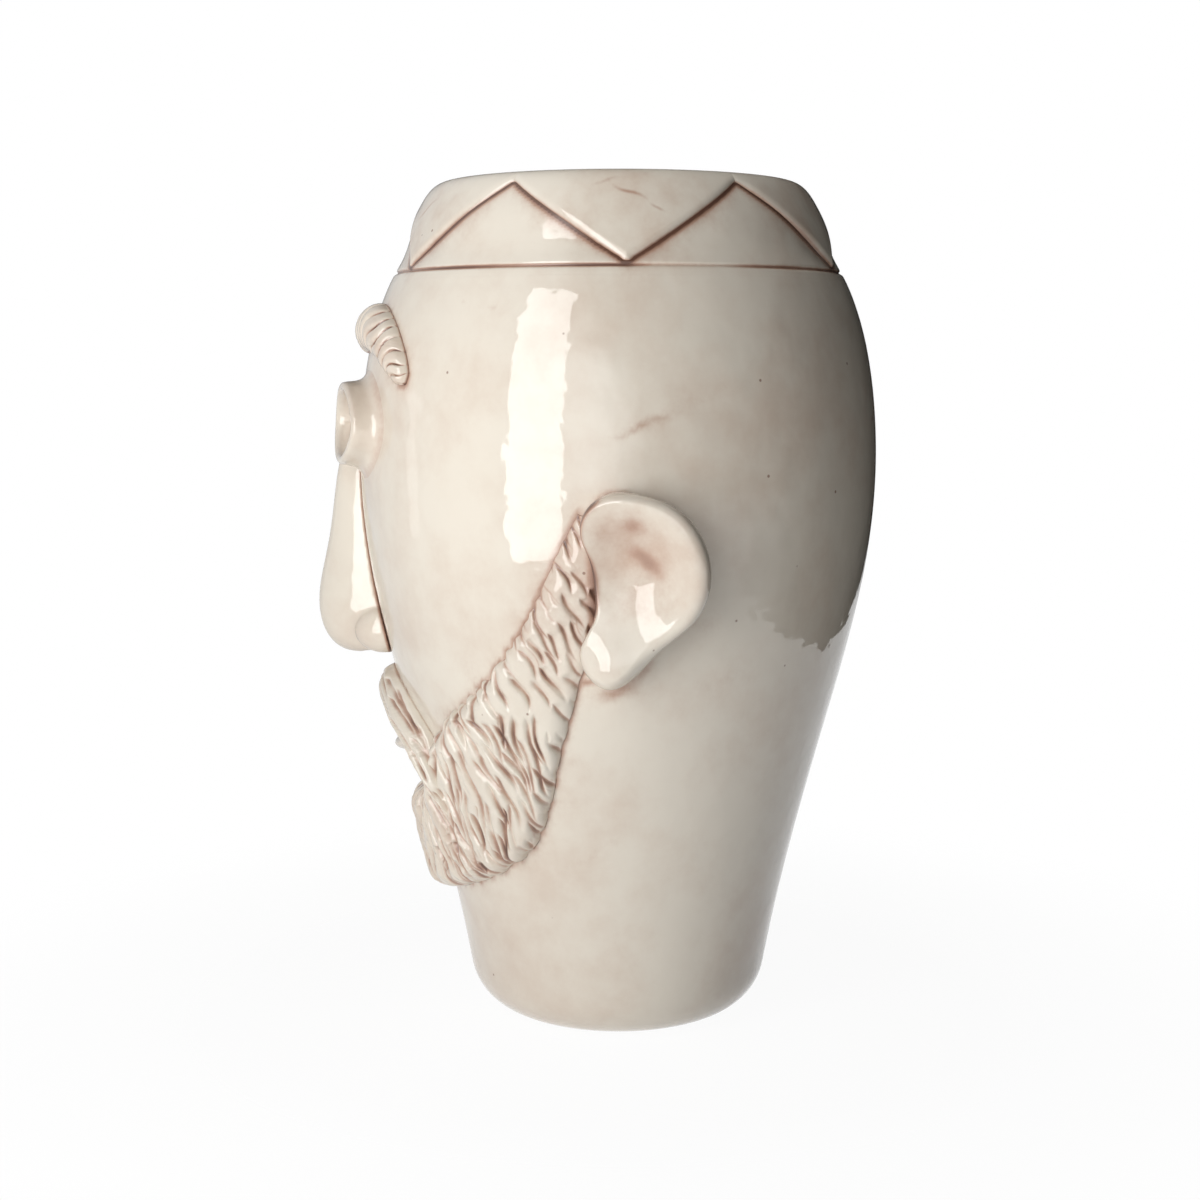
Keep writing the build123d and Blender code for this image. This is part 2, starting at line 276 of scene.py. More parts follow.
@dataclass(frozen=True)
class Glaze:
    """A glossy cream glaze over a thin wash of brown oxide that pools in lines and hollows; in a few places the wash
    also stands for painted shade.
    """

    name: str
    cream: tuple = (0.770, 0.705, 0.605)
    blush: tuple = (0.590, 0.440, 0.340)
    rust: Coat = Coat((0.470, 0.285, 0.205), (0.03, 0.50), 0.85)
    oxide: Coat = Coat((0.225, 0.105, 0.066), (0.30, 0.90), 0.92)
    deep: Coat = Coat((0.050, 0.022, 0.014), (0.60, 1.0), 0.6)
    blush_share: float = 0.55
    blush_span: tuple = (0.40, 0.72)
    dull_span: tuple = (0.03, 0.80)
    gloss: float = 0.05
    dull: float = 0.30
    bend: float = 1.66
    cloud_scale: float = 11.0
    mottle_scale: float = 60.0
    grain_scale: float = 420.0
    speck_scale: float = 130.0
    speck_size: float = 0.055
    speck_rarity: float = 0.955
    speck_cover: float = 0.75
    ripple: float = 0.40
    ripple_height: float = 0.002
    ripple_scales: tuple = (42.0, 120.0)

    def material(self) -> bpy.types.Material:
        """Builds the node material.

        Returns:
            The material, which reads the pieces' wash attribute.
        """
        material = bpy.data.materials.new(self.name)
        tree = blank_tree(material)
        place = tree.node("ShaderNodeTexCoord", output="Object")
        wash = tree.node("ShaderNodeAttribute", {"attribute_name": WASH}, output="Fac")
        clouds = self._noise(tree, place, self.cloud_scale, 3.0, 0.6)
        mottle = self._noise(tree, place, self.mottle_scale, 4.0, 0.65)
        grain = self._noise(tree, place, self.grain_scale, 3.0, 0.6)
        blush = tree.smooth(clouds * 0.7 + mottle * 0.3, *self.blush_span) * self.blush_share
        specks = self._specks(tree, place)
        colour = tree.blend(blush, (*self.cream, 1), (*self.blush, 1))
        uneven = wash + (mottle - 0.5) * 0.25 + (grain - 0.5) * 0.15
        stain = tree.smooth(uneven, *self.dull_span)
        for source, coat in ((uneven, self.rust), (uneven, self.oxide), (wash, self.deep)):
            colour = tree.blend(tree.smooth(source, *coat.span) * coat.cover, colour, (*coat.colour, 1))
        colour = tree.blend(specks * self.speck_cover, colour, (*self.oxide.colour, 1))
        rough = self.gloss + stain * (self.dull - self.gloss) + (mottle - 0.5) * 0.03
        broad, fine = (self._noise(tree, place, scale, 1.0, 0.5) for scale in self.ripple_scales)
        height = broad * 0.6 + fine * 0.22
        sockets = {"Strength": self.ripple, "Distance": self.ripple_height, "Height": height}
        bump = tree.node("ShaderNodeBump", {}, sockets)
        inputs = {"Base Color": colour, "Roughness": rough, "IOR": self.bend, "Normal": bump}
        shader = tree.node("ShaderNodeBsdfPrincipled", {}, inputs)
        tree.node("ShaderNodeOutputMaterial", {}, {"Surface": shader})
        return material

    @staticmethod
    def _noise(tree: Tree, place: Value, scale: float, detail: float, roughness: float) -> Value:
        """A soft noise over the object, from 0 to 1."""
        sockets = {"Vector": place, "Scale": scale, "Detail": detail, "Roughness": roughness}
        return tree.node("ShaderNodeTexNoise", {}, sockets)

    def _specks(self, tree: Tree, place: Value) -> Value:
        """Small dark specks, on a few of many cells.

        Args:
            tree: The material's tree.
            place: Places on the object.

        Returns:
            Strength of the specks.
        """
        sockets = {"Vector": place, "Scale": self.speck_scale}
        cells = tree.node("ShaderNodeTexVoronoi", {}, sockets, output="Distance")
        share = tree.node("ShaderNodeSeparateColor", {}, {"Color": tree.twin(cells, "Color")})
        chosen = share.call("GREATER_THAN", self.speck_rarity)
        return chosen * (1 - tree.smooth(cells, self.speck_size, self.speck_size * 2.2))


# Wall and meshes


@dataclass
class Wall:
    """The outside wall of the vessel as radii over heights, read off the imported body."""

    heights: np.ndarray
    radii: np.ndarray
    slopes: np.ndarray
    rim_swell: float = 3.4
    swell_span: tuple = (361.0, 385.0)

    @classmethod
    def from_node(cls, node: bpy.types.Object) -> "Wall":
        """Reads the outside wall.

        Args:
            node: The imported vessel.

        Returns:
            The wall, with one radius for each height that the vessel's mesh has outside.
        """
        places = places_of(node.data)
        rows = np.unique(np.round(np.column_stack((places[:, 2], round_axis(places)[1])), 2), axis=0)
        beside, wall_share, floor_top, level = 4.0, 5.0, 11.0, 0.06
        near = np.abs(rows[:, None, 0] - rows[None, :, 0]) < beside
        widest = np.where(near, rows[None, :, 1], 0.0).max(axis=1)
        outside = rows[(rows[:, 1] > widest - wall_share) | (rows[:, 0] < floor_top)]
        heights = np.unique(np.round(outside[:, 0], 1))
        radii = np.array([outside[np.abs(outside[:, 0] - height) < level, 1].max() for height in heights])
        return cls(heights, radii, np.gradient(radii, heights))

    def radius(self, height: np.ndarray) -> np.ndarray:
        """Radius of the wall, on a smooth curve through the read places.

        Args:
            height: Heights on the wall.

        Returns:
            The radius at each height.
        """
        height = np.clip(height, self.heights[0], self.heights[-1])
        after = np.clip(np.searchsorted(self.heights, height), 1, len(self.heights) - 1)
        before = after - 1
        span = self.heights[after] - self.heights[before]
        share = (height - self.heights[before]) / span
        radius = hermite(self.radii[before], self.radii[after], span * self.slopes[before],
                         span * self.slopes[after], share)
        return radius + self.swell(height)

    def swell(self, height: np.ndarray) -> np.ndarray:
        """How far the soft clay has bulged out under the folded crown."""
        return self.rim_swell * eased(height, *self.swell_span)

    def point(self, angle: np.ndarray, height: np.ndarray, lift: np.ndarray) -> np.ndarray:
        """Places off the wall.

        Args:
            angle: Angles round the wall.
            height: Heights on the wall.
            lift: Distances off the wall, along its normal.

        Returns:
            One row of three coordinates for each place, on a last axis.
        """
        turn = np.radians(angle)
        radius = self.radius(height)
        slope = (self.radius(height + 1.0) - self.radius(height - 1.0)) / 2.0
        steep = np.sqrt(1 + slope ** 2)
        radius = radius + lift / steep
        return np.stack((radius * np.sin(turn), -radius * np.cos(turn), height - lift * slope / steep), axis=-1)


def eased(value: np.ndarray, low: float, high: float) -> np.ndarray:
    """Values eased from 0 at low to 1 at high."""
    share = np.clip((value - low) / (high - low), 0.0, 1.0)
    return share * share * (3 - 2 * share)


def rounded(gap: np.ndarray, radius: Union[float, np.ndarray]) -> np.ndarray:
    """Height of a quarter-round edge, from 0 at the edge to 1 at the radius and beyond."""
    return np.sqrt(1 - (1 - np.clip(gap / radius, 0, 1)) ** 2)


def round_axis(places: np.ndarray) -> tuple:
    """Angles of places round the axis, and their distances from it."""
    return np.degrees(np.arctan2(places[..., 0], -places[..., 1])), np.hypot(places[..., 0], places[..., 1])


def directions(places: np.ndarray) -> np.ndarray:
    """Unit directions along a path."""
    ahead = np.gradient(places, axis=0)
    return ahead / np.linalg.norm(ahead, axis=1)[:, None]


def hermite(first: np.ndarray, last: np.ndarray, leave: np.ndarray, arrive: np.ndarray,
            share: np.ndarray) -> np.ndarray:
    """Values on smooth curves between two ends.

    Args:
        first: Values at the start.
        last: Values at the end.
        leave: Slopes at the start.
        arrive: Slopes at the end.
        share: Share of the way along.

    Returns:
        The values.
    """
    lead = share * share * (3 - 2 * share)
    start = share * (1 - share) ** 2 * leave
    end = share ** 2 * (share - 1) * arrive
    return first * (1 - lead) + last * lead + start + end


def through(stations: np.ndarray, count: int) -> np.ndarray:
    """Even steps along a smooth open curve.

    Args:
        stations: Rows that the curve goes through.
        count: How many rows to give back.

    Returns:
        The rows along the curve.
    """
    stations = np.asarray(stations, float)
    slopes = np.gradient(stations, axis=0)
    places = np.linspace(0, len(stations) - 1, count)
    before = np.clip(places.astype(int), 0, len(stations) - 2)
    share = (places - before)[:, None]
    return hermite(stations[before], stations[before + 1], slopes[before], slopes[before + 1], share)


def bezier(start: np.ndarray, pull: np.ndarray, push: np.ndarray, end: np.ndarray, count: int) -> np.ndarray:
    """Points along a curve that leaves its start towards a second point and meets its end from a third.

    Args:
        start: Where the curve begins.
        pull: The point that it leaves towards.
        push: The point that it comes in from.
        end: Where it ends.
        count: How many points to give back.

    Returns:
        The points.
    """
    share = np.linspace(0, 1, count)[:, None]
    rest = 1 - share
    return rest ** 3 * start + 3 * rest ** 2 * share * pull + 3 * rest * share ** 2 * push + share ** 3 * end


def ring_through(places: np.ndarray, count: int) -> np.ndarray:
    """Points along a smooth closed curve.

    Args:
        places: The points that the curve goes through.
        count: How many points to give back.

    Returns:
        The points, with the last one a step before the first.
    """
    places = np.asarray(places, float)
    number = len(places)
    steps = np.linalg.norm(np.roll(places, -1, axis=0) - places, axis=1)
    matrix = np.zeros((number, number))
    right = np.zeros_like(places)
    for index in range(number):
        last, after = steps[index - 1], steps[index]
        matrix[index, index - 1] = after
        matrix[index, index] = 2 * (last + after)
        matrix[index, (index + 1) % number] = last
        ahead = (places[(index + 1) % number] - places[index]) / after
        behind = (places[index] - places[index - 1]) / last
        right[index] = 3 * (last * ahead + after * behind)
    slopes = np.linalg.solve(matrix, right)
    knots = np.concatenate(([0.0], np.cumsum(steps)))
    spots = np.linspace(0, knots[-1], count, endpoint=False)
    before = np.clip(np.searchsorted(knots, spots, side="right") - 1, 0, number - 1)
    after = (before + 1) % number
    span = steps[before][:, None]
    share = (spots - knots[before])[:, None] / span
    return hermite(places[before], places[after], span * slopes[before], span * slopes[after], share)


def blurred(values: np.ndarray, reach: int) -> np.ndarray:
    """A grid of values, each averaged with its neighbours.

    Args:
        values: The grid.
        reach: How many cells the average goes out to, each way.

    Returns:
        The averaged grid.
    """
    for axis in (0, 1):
        padded = np.pad(values, [(reach + 1, reach) if number == axis else (0, 0) for number in (0, 1)], mode="edge")
        sums = np.cumsum(padded, axis=axis)
        width = 2 * reach + 1
        high = np.take(sums, range(width, sums.shape[axis]), axis=axis)
        low = np.take(sums, range(0, sums.shape[axis] - width), axis=axis)
        values = (high - low) / width
    return values


def grid_faces(rows: int, columns: int, ring: bool = False) -> np.ndarray:
    """Four-sided faces over a grid of points.

    Args:
        rows: Number of rows of points.
        columns: Number of points in a row.
        ring: True where each row closes on itself.

    Returns:
        The faces' point numbers.
    """
    index = np.arange(rows * columns).reshape(rows, columns)
    if ring:
        index = np.concatenate((index, index[:, :1]), axis=1)
    corners = (index[:-1, :-1], index[:-1, 1:], index[1:, 1:], index[1:, :-1])
    return np.stack(corners, axis=-1).reshape(-1, 4)


def sheet_faces(rows: int, columns: int) -> list:
    """Faces of a closed shell: a grid of points above, and strips across its underside.

    Args:
        rows: Number of rows of points.
        columns: Number of points in a row.

    Returns:
        The faces' point numbers.
    """
    faces = grid_faces(rows, columns).tolist()
    index = np.arange(rows * columns).reshape(rows, columns)
    under = np.stack((index[:-1, 0], index[1:, 0], index[1:, -1], index[:-1, -1]), axis=-1)
    return faces + under.tolist() + [index[0, ::-1].tolist(), index[-1].tolist()]


def new_object(name: str, places: np.ndarray, faces: list, wash: Optional[np.ndarray] = None) -> bpy.types.Object:
    """Makes a mesh object from places in millimetres.

    Args:
        name: The object's name.
        places: The points.
        faces: The faces' point numbers.
        wash: Strength of the oxide wash on each point.

    Returns:
        The object, linked to the scene and shaded smooth.
    """
    mesh = bpy.data.meshes.new(name)
    mesh.from_pydata((np.asarray(places).reshape(-1, 3) * MM).tolist(), [], faces)
    mesh.update()
    mesh.shade_smooth()
    if wash is not None:
        set_wash(mesh, wash)
    obj = bpy.data.objects.new(name, mesh)
    bpy.context.scene.collection.objects.link(obj)
    return obj


def set_wash(mesh: bpy.types.Mesh, wash: np.ndarray) -> None:
    """Writes the strength of the wash on a mesh's points: brown oxide, and in a few places painted shade."""
    lay_numbers(mesh, {WASH: np.clip(wash, 0, 1)})


def lay_numbers(mesh: bpy.types.Mesh, numbers: dict) -> None:
    """Writes numbers on a mesh's points.

    Args:
        mesh: The mesh.
        numbers: A number for each point, by name.
    """
    for name, values in numbers.items():
        layer = mesh.attributes.get(name) or mesh.attributes.new(name, "FLOAT", "POINT")
        layer.data.foreach_set("value", values.astype(np.float32).ravel())


def drop_numbers(mesh: bpy.types.Mesh, names: Iterable) -> None:
    """Removes named numbers from a mesh's points."""
    for name in names:
        mesh.attributes.remove(mesh.attributes[name])


def places_of(mesh: bpy.types.Mesh) -> np.ndarray:
    """Reads a mesh's points.

    Args:
        mesh: The mesh.

    Returns:
        The points in millimetres.
    """
    places = np.zeros(len(mesh.vertices) * 3)
    mesh.vertices.foreach_get("co", places)
    return places.reshape(-1, 3) / MM


def mend(obj: bpy.types.Object) -> None:
    """Merges a mesh's doubled points and turns its faces outwards.

    Args:
        obj: The object whose mesh is mended.
    """
    work = bmesh.new()
    work.from_mesh(obj.data)
    bmesh.ops.remove_doubles(work, verts=work.verts, dist=MERGE)
    bmesh.ops.recalc_face_normals(work, faces=work.faces)
    if work.calc_volume(signed=True) < 0:
        bmesh.ops.reverse_faces(work, faces=work.faces)
    work.to_mesh(obj.data)
    work.free()
    obj.data.shade_smooth()


def hand_in(obj: bpy.types.Object, material: bpy.types.Material, slot: Slot, *nodes: str) -> None:
    """Dresses a finished piece and puts it in the place of its solids.

    Args:
        obj: The piece.
        material: Its glaze.
        slot: The material slot of its solids. Not used.
        nodes: The solids that it stands for.
    """
    obj.data.materials.clear()
    obj.data.materials.append(material)
    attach(obj, BODY)
    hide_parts(*nodes)
    LOG.info("%s: %d points, %d faces", obj.name, len(obj.data.vertices), len(obj.data.polygons))


# Vessel


@dataclass(frozen=True)
class Smear:
    """A brush mark of oxide on the wall, wiped along its length; the vessel's marks under the ear lobes are partly
    painted shade.
    """

    angle: float
    height: float
    length: float
    tilt: float
    width: float
    strength: float

    def stain(self, angle: np.ndarray, height: np.ndarray) -> np.ndarray:
        """How dark the mark is.

        Args:
            angle: Angles of places on the wall.
            height: Heights of those places.

        Returns:
            The strength at each place.
        """
        across = (angle - self.angle) * CHART
        up = height - self.height
        turn = math.radians(self.tilt)
        along = across * math.cos(turn) + up * math.sin(turn)
        aside = up * math.cos(turn) - across * math.sin(turn) - 1.2 * np.sin(along / 4.0)
        return self.strength * np.exp(-(along / self.length) ** 2 - (aside / self.width) ** 2)


@dataclass
class Vessel:
    """The thrown and pressed body of the vase, turned round its axis."""

    wall: Wall
    material: bpy.types.Material
    thickness: float = 9.0
    floor: float = 12.0
    floor_round: float = 12.0
    band_height: float = 356.0
    line_depth: float = 1.3
    line_half: float = 0.8
    line_span: float = 5.0
    foot_height: float = 24.0
    row_steps: tuple = (2.6, 0.4, 1.2)
    columns: int = 440
    wobble: float = 0.20
    wave: float = 17.0
    even_foot: tuple = (6.0, 40.0)
    even_rim: tuple = (372.0, 390.0)
    worn_near: tuple = (95.0, 103.0)
    worn_far: tuple = (118.0, 142.0)
    pool_reach: float = 24.0
    pool_line: tuple = (0.70, 1.5)
    pool_haze: tuple = (0.36, 4.5)
    dry_height: float = 40.0
    # The last five marks lie under the ear lobes: oxide with painted shade below the lobes.
    smears: tuple = (Smear(97.5, 287.0, 11.0, 20.0, 1.5, 0.30), Smear(104.0, 293.0, 17.0, 24.0, 5.0, 0.15),
                     Smear(62.0, 339.0, 16.0, -16.0, 1.0, 0.20), Smear(118.0, 176.0, 20.0, 12.0, 6.0, 0.10),
                     Smear(88.0, 96.0, 24.0, 27.0, 1.6, 0.12), Smear(112.0, 204.0, 18.0, -40.0, 6.0, 0.12),
                     Smear(-60.0, 300.0, 14.0, 30.0, 1.1, 0.40), Smear(-120.0, 240.0, 22.0, -20.0, 5.0, 0.15),
                     Smear(170.0, 290.0, 16.0, 14.0, 1.2, 0.35), Smear(93.5, 172.5, 9.0, 4.0, 4.0, 0.44),
                     Smear(100.0, 183.0, 9.0, 42.0, 3.2, 0.34), Smear(86.6, 176.6, 6.5, -12.0, 1.6, 0.50),
                     Smear(-93.5, 172.5, 9.0, -4.0, 4.0, 0.40), Smear(-100.0, 183.0, 9.0, -42.0, 3.2, 0.30))
    obj: Optional[bpy.types.Object] = None

    def outline(self) -> np.ndarray:
        """Section from the middle of the foot, up the outside and down the inside to the floor.

        Returns:
            Rows of radius, share of the hand's unevenness, and height.
        """
        foot = self.wall.radii[0]
        under = [(share * foot, 0.0, self.wall.heights[0]) for share in (0.0, 0.5, 0.9)]
        low, high = self.band_height - self.line_span, self.band_height + self.line_span
        rim = self.wall.heights[-1]
        rounding = self.wall.heights[self.wall.heights < self.foot_height]
        ends = ((self.foot_height + 2.0, low), (low, high), (high, rim))
        spans = [np.arange(*span, step) for span, step in zip(ends, self.row_steps)]
        heights = np.concatenate((rounding, *spans, [rim]))
        radii = self.wall.radius(heights)
        radii = radii - self.line_depth * np.exp(-((heights - self.band_height) / self.line_half) ** 2)
        uneven = eased(heights, *self.even_foot) * (1 - eased(heights, *self.even_rim))
        outside = np.column_stack((radii, uneven, heights))
        inside_heights = np.linspace(rim, self.floor + self.floor_round, 24)
        inside_radii = self.wall.radius(inside_heights) - self.wall.swell(inside_heights) - self.thickness
        inside = np.column_stack((inside_radii, 0 * inside_radii, inside_heights))
        last = inside_radii[-1]
        turn = np.linspace(0, math.pi / 2, 8)[1:]
        bend = np.column_stack((last - self.floor_round * (1 - np.cos(turn)), 0 * turn,
                                self.floor + self.floor_round * (1 - np.sin(turn))))
        middle = [(bend[-1, 0] * share, 0.0, self.floor) for share in (0.6, 0.3, 0.0)]
        return np.concatenate((under, outside, inside, bend, middle))

    def build(self) -> None:
        """Turns the section round the axis, to be dressed once the other pieces are laid."""
        rows = self.outline()
        self.obj = new_object("vase_body_glazed", rows, [])
        tree = GeometryTree("turn_round_axis")
        columns = tree.input("Columns", "NodeSocketInt")
        wobble = tree.input("Wobble")
        wave = tree.input("Wave")
        count = tree.input("Rows", "NodeSocketInt")
        sizes = {"Vertices X": columns + 1, "Vertices Y": count}
        grid = tree.node("GeometryNodeMeshGrid", {}, sizes, output="Mesh")
        index = tree.node("GeometryNodeInputIndex")
        row = index % count
        turn = (index / count).call("FLOOR") / columns * math.tau
        spot = tree.node("GeometryNodeInputPosition")
        settings = {"data_type": "FLOAT_VECTOR", "domain": "POINT"}
        sockets = {"Geometry": tree.geometry(), "Value": spot, "Index": row}
        sample = tree.node("GeometryNodeSampleIndex", settings, sockets)
        radius = tree.node("ShaderNodeSeparateXYZ", {}, {0: sample}, output="X")
        uneven = tree.twin(radius, "Y") / MM
        height = tree.twin(radius, "Z")
        across, along = turn.call("SINE"), 0 - turn.call("COSINE")
        smooth = tree.vector(radius * across, radius * along, height)
        sockets = {"Vector": smooth, "W": 3.7, "Scale": wave, "Detail": 3.0, "Roughness": 0.52}
        noise = tree.node("ShaderNodeTexNoise", {"noise_dimensions": "4D"}, sockets)
        radius = radius + (noise - 0.5) * 2 * wobble * uneven
        place = tree.vector(radius * across, radius * along, height)
        mesh = tree.node("GeometryNodeSetPosition", {}, {"Geometry": grid, "Position": place})
        mesh = tree.node("GeometryNodeMergeByDistance", {}, {"Geometry": mesh, "Distance": MERGE})
        tree.close(mesh, self.material)
        values = {"Columns": self.columns, "Wobble": self.wobble * MM, "Wave": self.wave, "Rows": len(rows)}
        tree.run(self.obj, values)

    def dress(self, edges: np.ndarray, strengths: np.ndarray) -> None:
        """Stains the wall along the cut line and round the pieces laid on it; round the crown and under the ears the
        stain is partly painted shade.

        Args:
            edges: Places where laid pieces meet the wall.
            strengths: How dark the wash is made at each place: pooled oxide, with painted shade added round the crown
                and under the ears.
        """
        places = places_of(self.obj.data)
        angle, radius = round_axis(places)
        worn = 1.0 - 0.62 * eased(angle, *self.worn_near) + 0.45 * eased(angle, *self.worn_far)
        worn = worn * (0.85 + 0.15 * np.sin(np.radians(angle * 9.0)))
        line = np.exp(-((places[:, 2] - self.band_height) / (self.line_half * 1.1)) ** 2)
        outside = radius > self.wall.radius(places[:, 2]) - SKIN
        tree = KDTree(len(edges))
        for number, edge in enumerate(edges):
            tree.insert(edge, number)
        tree.balance()
        # Pooled oxide round the laid pieces; round the crown's tongues and under the ears it is partly painted shade.
        pooled = np.zeros(len(places))
        (dark, near), (pale, far) = self.pool_line, self.pool_haze
        for number in np.nonzero(outside & (places[:, 2] > self.dry_height))[0]:
            _, nearest, distance = tree.find(places[number])
            if distance < self.pool_reach:
                share = dark * math.exp(-(distance / near) ** 2) + pale * math.exp(-distance / far)
                pooled[number] = strengths[nearest] * share
        # Brush marks; those under the ear lobes are partly painted shade.
        brushed = sum(smear.stain(angle, places[:, 2]) for smear in self.smears)
        set_wash(self.obj.data, np.maximum(np.maximum(line * worn, pooled), brushed) * outside)
        hand_in(self.obj, self.material, Slot.WALL, "vase_body")


# Crown


@dataclass
class Crown:
    """Six tongues of clay folded down over the rim, spaced by eye."""

    wall: Wall
    material: bpy.types.Material
    first_angle: float = 30.0
    steps: tuple = (66.0, 67.0, 57.0, 57.0, 56.0, 57.0)
    rim_wall: float = 9.0
    inner_height: float = 394.5
    top_height: float = 398.2
    shoulder: tuple = (94.5, 386.0)
    fall: tuple = (0.49, -0.87)
    hang: tuple = (0.40, -0.92)
    pulls: tuple = ((2.4, 2.6, 60), (7.5, 6.0, 160), (9.0, 9.0, 180))
    tip_height: float = 358.5
    tip_thick: float = 1.8
    notch_height: float = 394.4
    roll: float = 3.6
    tip_round: float = 2.2
    sunk: float = 0.5
    rows: int = 120
    columns: int = 120
    under_columns: int = 17
    smears: tuple = (Smear(97.0, 387.4, 8.5, -26.0, 1.0, 0.46), Smear(90.5, 392.4, 8.0, 4.0, 0.9, 0.24),
                     Smear(104.0, 380.5, 4.0, -40.0, 0.9, 0.34), Smear(28.0, 384.0, 9.0, 20.0, 1.0, 0.36),
                     Smear(-84.0, 386.0, 9.0, -18.0, 1.0, 0.36))
    # Edges of the tongues, round which the wall gets a line of oxide and painted shade.
    rims: list = field(default_factory=list)

    def fold(self) -> tuple:
        """Sections of the fold and of what lies under it, from the inner edge to the tip.

        Returns:
            The fold's radii and heights, those of the clay below it, and the rise over the tip.
        """
        tip = np.array((float(self.wall.radius(np.array(self.tip_height))) + self.tip_thick, self.tip_height))
        inner = np.array((self.wall.radii[-1] - self.rim_wall, self.inner_height))
        top = np.array((inner[0] + self.rim_wall / 2, self.top_height))
        ends = (inner, top, np.array(self.shoulder), tip)
        ways = [np.array(way) for way in ((0.0, 1.0), (1.0, 0.0), self.fall, self.hang)]
        curve = inner[None]
        for index, (leave, arrive, count) in enumerate(self.pulls):
            start, end = ends[index:index + 2]
            bend = bezier(start, start + ways[index] * leave, end - ways[index + 1] * arrive, end, count)
            curve = np.concatenate((curve, bend[1:]))
        reach = np.concatenate(([0], np.cumsum(np.linalg.norm(np.diff(curve, axis=0), axis=1))))
        even = np.linspace(0, reach[-1], self.rows)
        radii, heights = (np.interp(even, reach, curve[:, number]) for number in (0, 1))
        rim = self.wall.heights[-1]
        below = np.linspace(rim, self.tip_height - 2.0, 400)
        beside = self.wall.radius(below)
        nearest = np.hypot(radii[:, None] - beside, heights[:, None] - below).argmin(axis=1)
        under_radii = np.where(radii > beside[0], beside[nearest], radii) - self.sunk
        return radii, heights, under_radii, below[nearest] - self.sunk, reach[-1] - even

    def pattern(self) -> tuple:
        """The flat pattern of one tongue, before it is wrapped round the rim.

        Returns:
            The pattern's faces, and its numbers by name: share across, and fold and wall at each point.
        """
        radii, heights, under_radii, under_heights, rise = self.fold()
        spread = np.sin(np.linspace(-math.pi / 2, math.pi / 2, self.columns))
        outer = heights <= self.notch_height
        full = rise[outer & (radii > self.wall.radii[-1])].max()
        half = math.radians(sum(self.steps) / len(self.steps) / 2) * radii
        edge = half * rise / full
        blunt = np.sqrt(2 * self.tip_round * rise + 0.02)
        width = np.minimum(np.maximum(edge, np.minimum(blunt, edge + self.tip_round)), half)
        across = spread[None, :] * width[:, None]
        steep = np.hypot(1.0, half.mean() / full)
        gap = np.maximum(edge, width)[:, None] - np.abs(across)
        inset = np.minimum(gap / steep, rise[:, None])
        lift = rounded(inset, self.roll)
        picked = np.linspace(0, self.columns - 1, self.under_columns).round().astype(int)
        share = across / half[:, None]
        layers = [(share, lift), (share[:, picked], 0 * lift[:, picked])]
        numbers = {"across": np.concatenate([layer.ravel() for layer, _ in layers]),
                   "lift": np.concatenate([raised.ravel() for _, raised in layers])}
        rows = {"fold_r": radii, "fold_z": heights, "under_r": under_radii, "under_z": under_heights}
        for name, row in rows.items():
            spread = [np.broadcast_to(row[:, None], layer.shape).ravel() for layer, _ in layers]
            numbers[name] = np.concatenate(spread)
        return self.faces(picked), numbers

    def faces(self, picked: np.ndarray) -> list:
        """Faces of one tongue: its top, a coarser underside, and the strips that join them.

        Args:
            picked: The columns of the top that the underside keeps.

        Returns:
            The faces' point numbers.
        """
        top = np.arange(self.rows * self.columns).reshape(self.rows, self.columns)
        under = np.arange(self.rows * len(picked)).reshape(self.rows, len(picked)) + top.size
        faces = grid_faces(*top.shape).tolist() + (grid_faces(*under.shape)[:, ::-1] + top.size).tolist()
        for side in (0, -1):
            strip = (top[:-1, side], top[1:, side], under[1:, side], under[:-1, side])
            faces += np.stack(strip, axis=-1).tolist()
            for cell, (first, last) in enumerate(zip(picked[:-1], picked[1:])):
                below = under[side, cell:cell + 2]
                faces.append([*top[side, first:last + 1].tolist(), *below[::-1].tolist()])
        return faces

    def build(self) -> None:
        """Wraps the pattern round the rim, once for each tongue."""
        faces, numbers = self.pattern()
        tree = self.wrap_tree()
        angle = self.first_angle
        for index, step in enumerate(self.steps):
            name = f"crown_point_{index + 1}"
            obj = new_object(f"{name}_glazed", np.zeros((numbers["lift"].size, 3)), faces)
            lay_numbers(obj.data, numbers)
            tree.run(obj, {"Tip Angle": angle, "Span Before": self.steps[index - 1] / 2, "Span After": step / 2})
            places = places_of(obj.data)[:self.rows * self.columns].reshape(self.rows, self.columns, 3)
            edges = places[:, (0, -1)]
            self.rims.append(edges[edges[..., 2] < self.notch_height - 1.0])
            mend(obj)
            self.dress(obj)
            drop_numbers(obj.data, numbers)
            hand_in(obj, self.material, Slot.WALL, name)
            angle += step

    def wrap_tree(self) -> GeometryTree:
        """Makes the tree that wraps a flat tongue round the rim.

        Returns:
            The tree, which takes the angle of the tip and the tongue's spans before and after it.
        """
        tree = GeometryTree("wrap_round_rim")
        tip, before, after = (tree.input(name) for name in ("Tip Angle", "Span Before", "Span After"))
        across, lift = (tree.attribute(name) for name in ("across", "lift"))
        span = before + (after - before) * across.call("GREATER_THAN", 0.0)
        turn = (tip + across * span) * (math.pi / 180)
        names = (("under_r", "fold_r"), ("under_z", "fold_z"))
        ends = ((tree.attribute(under), tree.attribute(fold)) for under, fold in names)
        radius, height = ((under + (fold - under) * lift) * MM for under, fold in ends)
        place = tree.vector(radius * turn.call("SINE"), 0 - radius * turn.call("COSINE"), height)
        mesh = tree.node("GeometryNodeSetPosition", {}, {"Geometry": tree.geometry(), "Position": place})
        tree.close(mesh, self.material)
        return tree

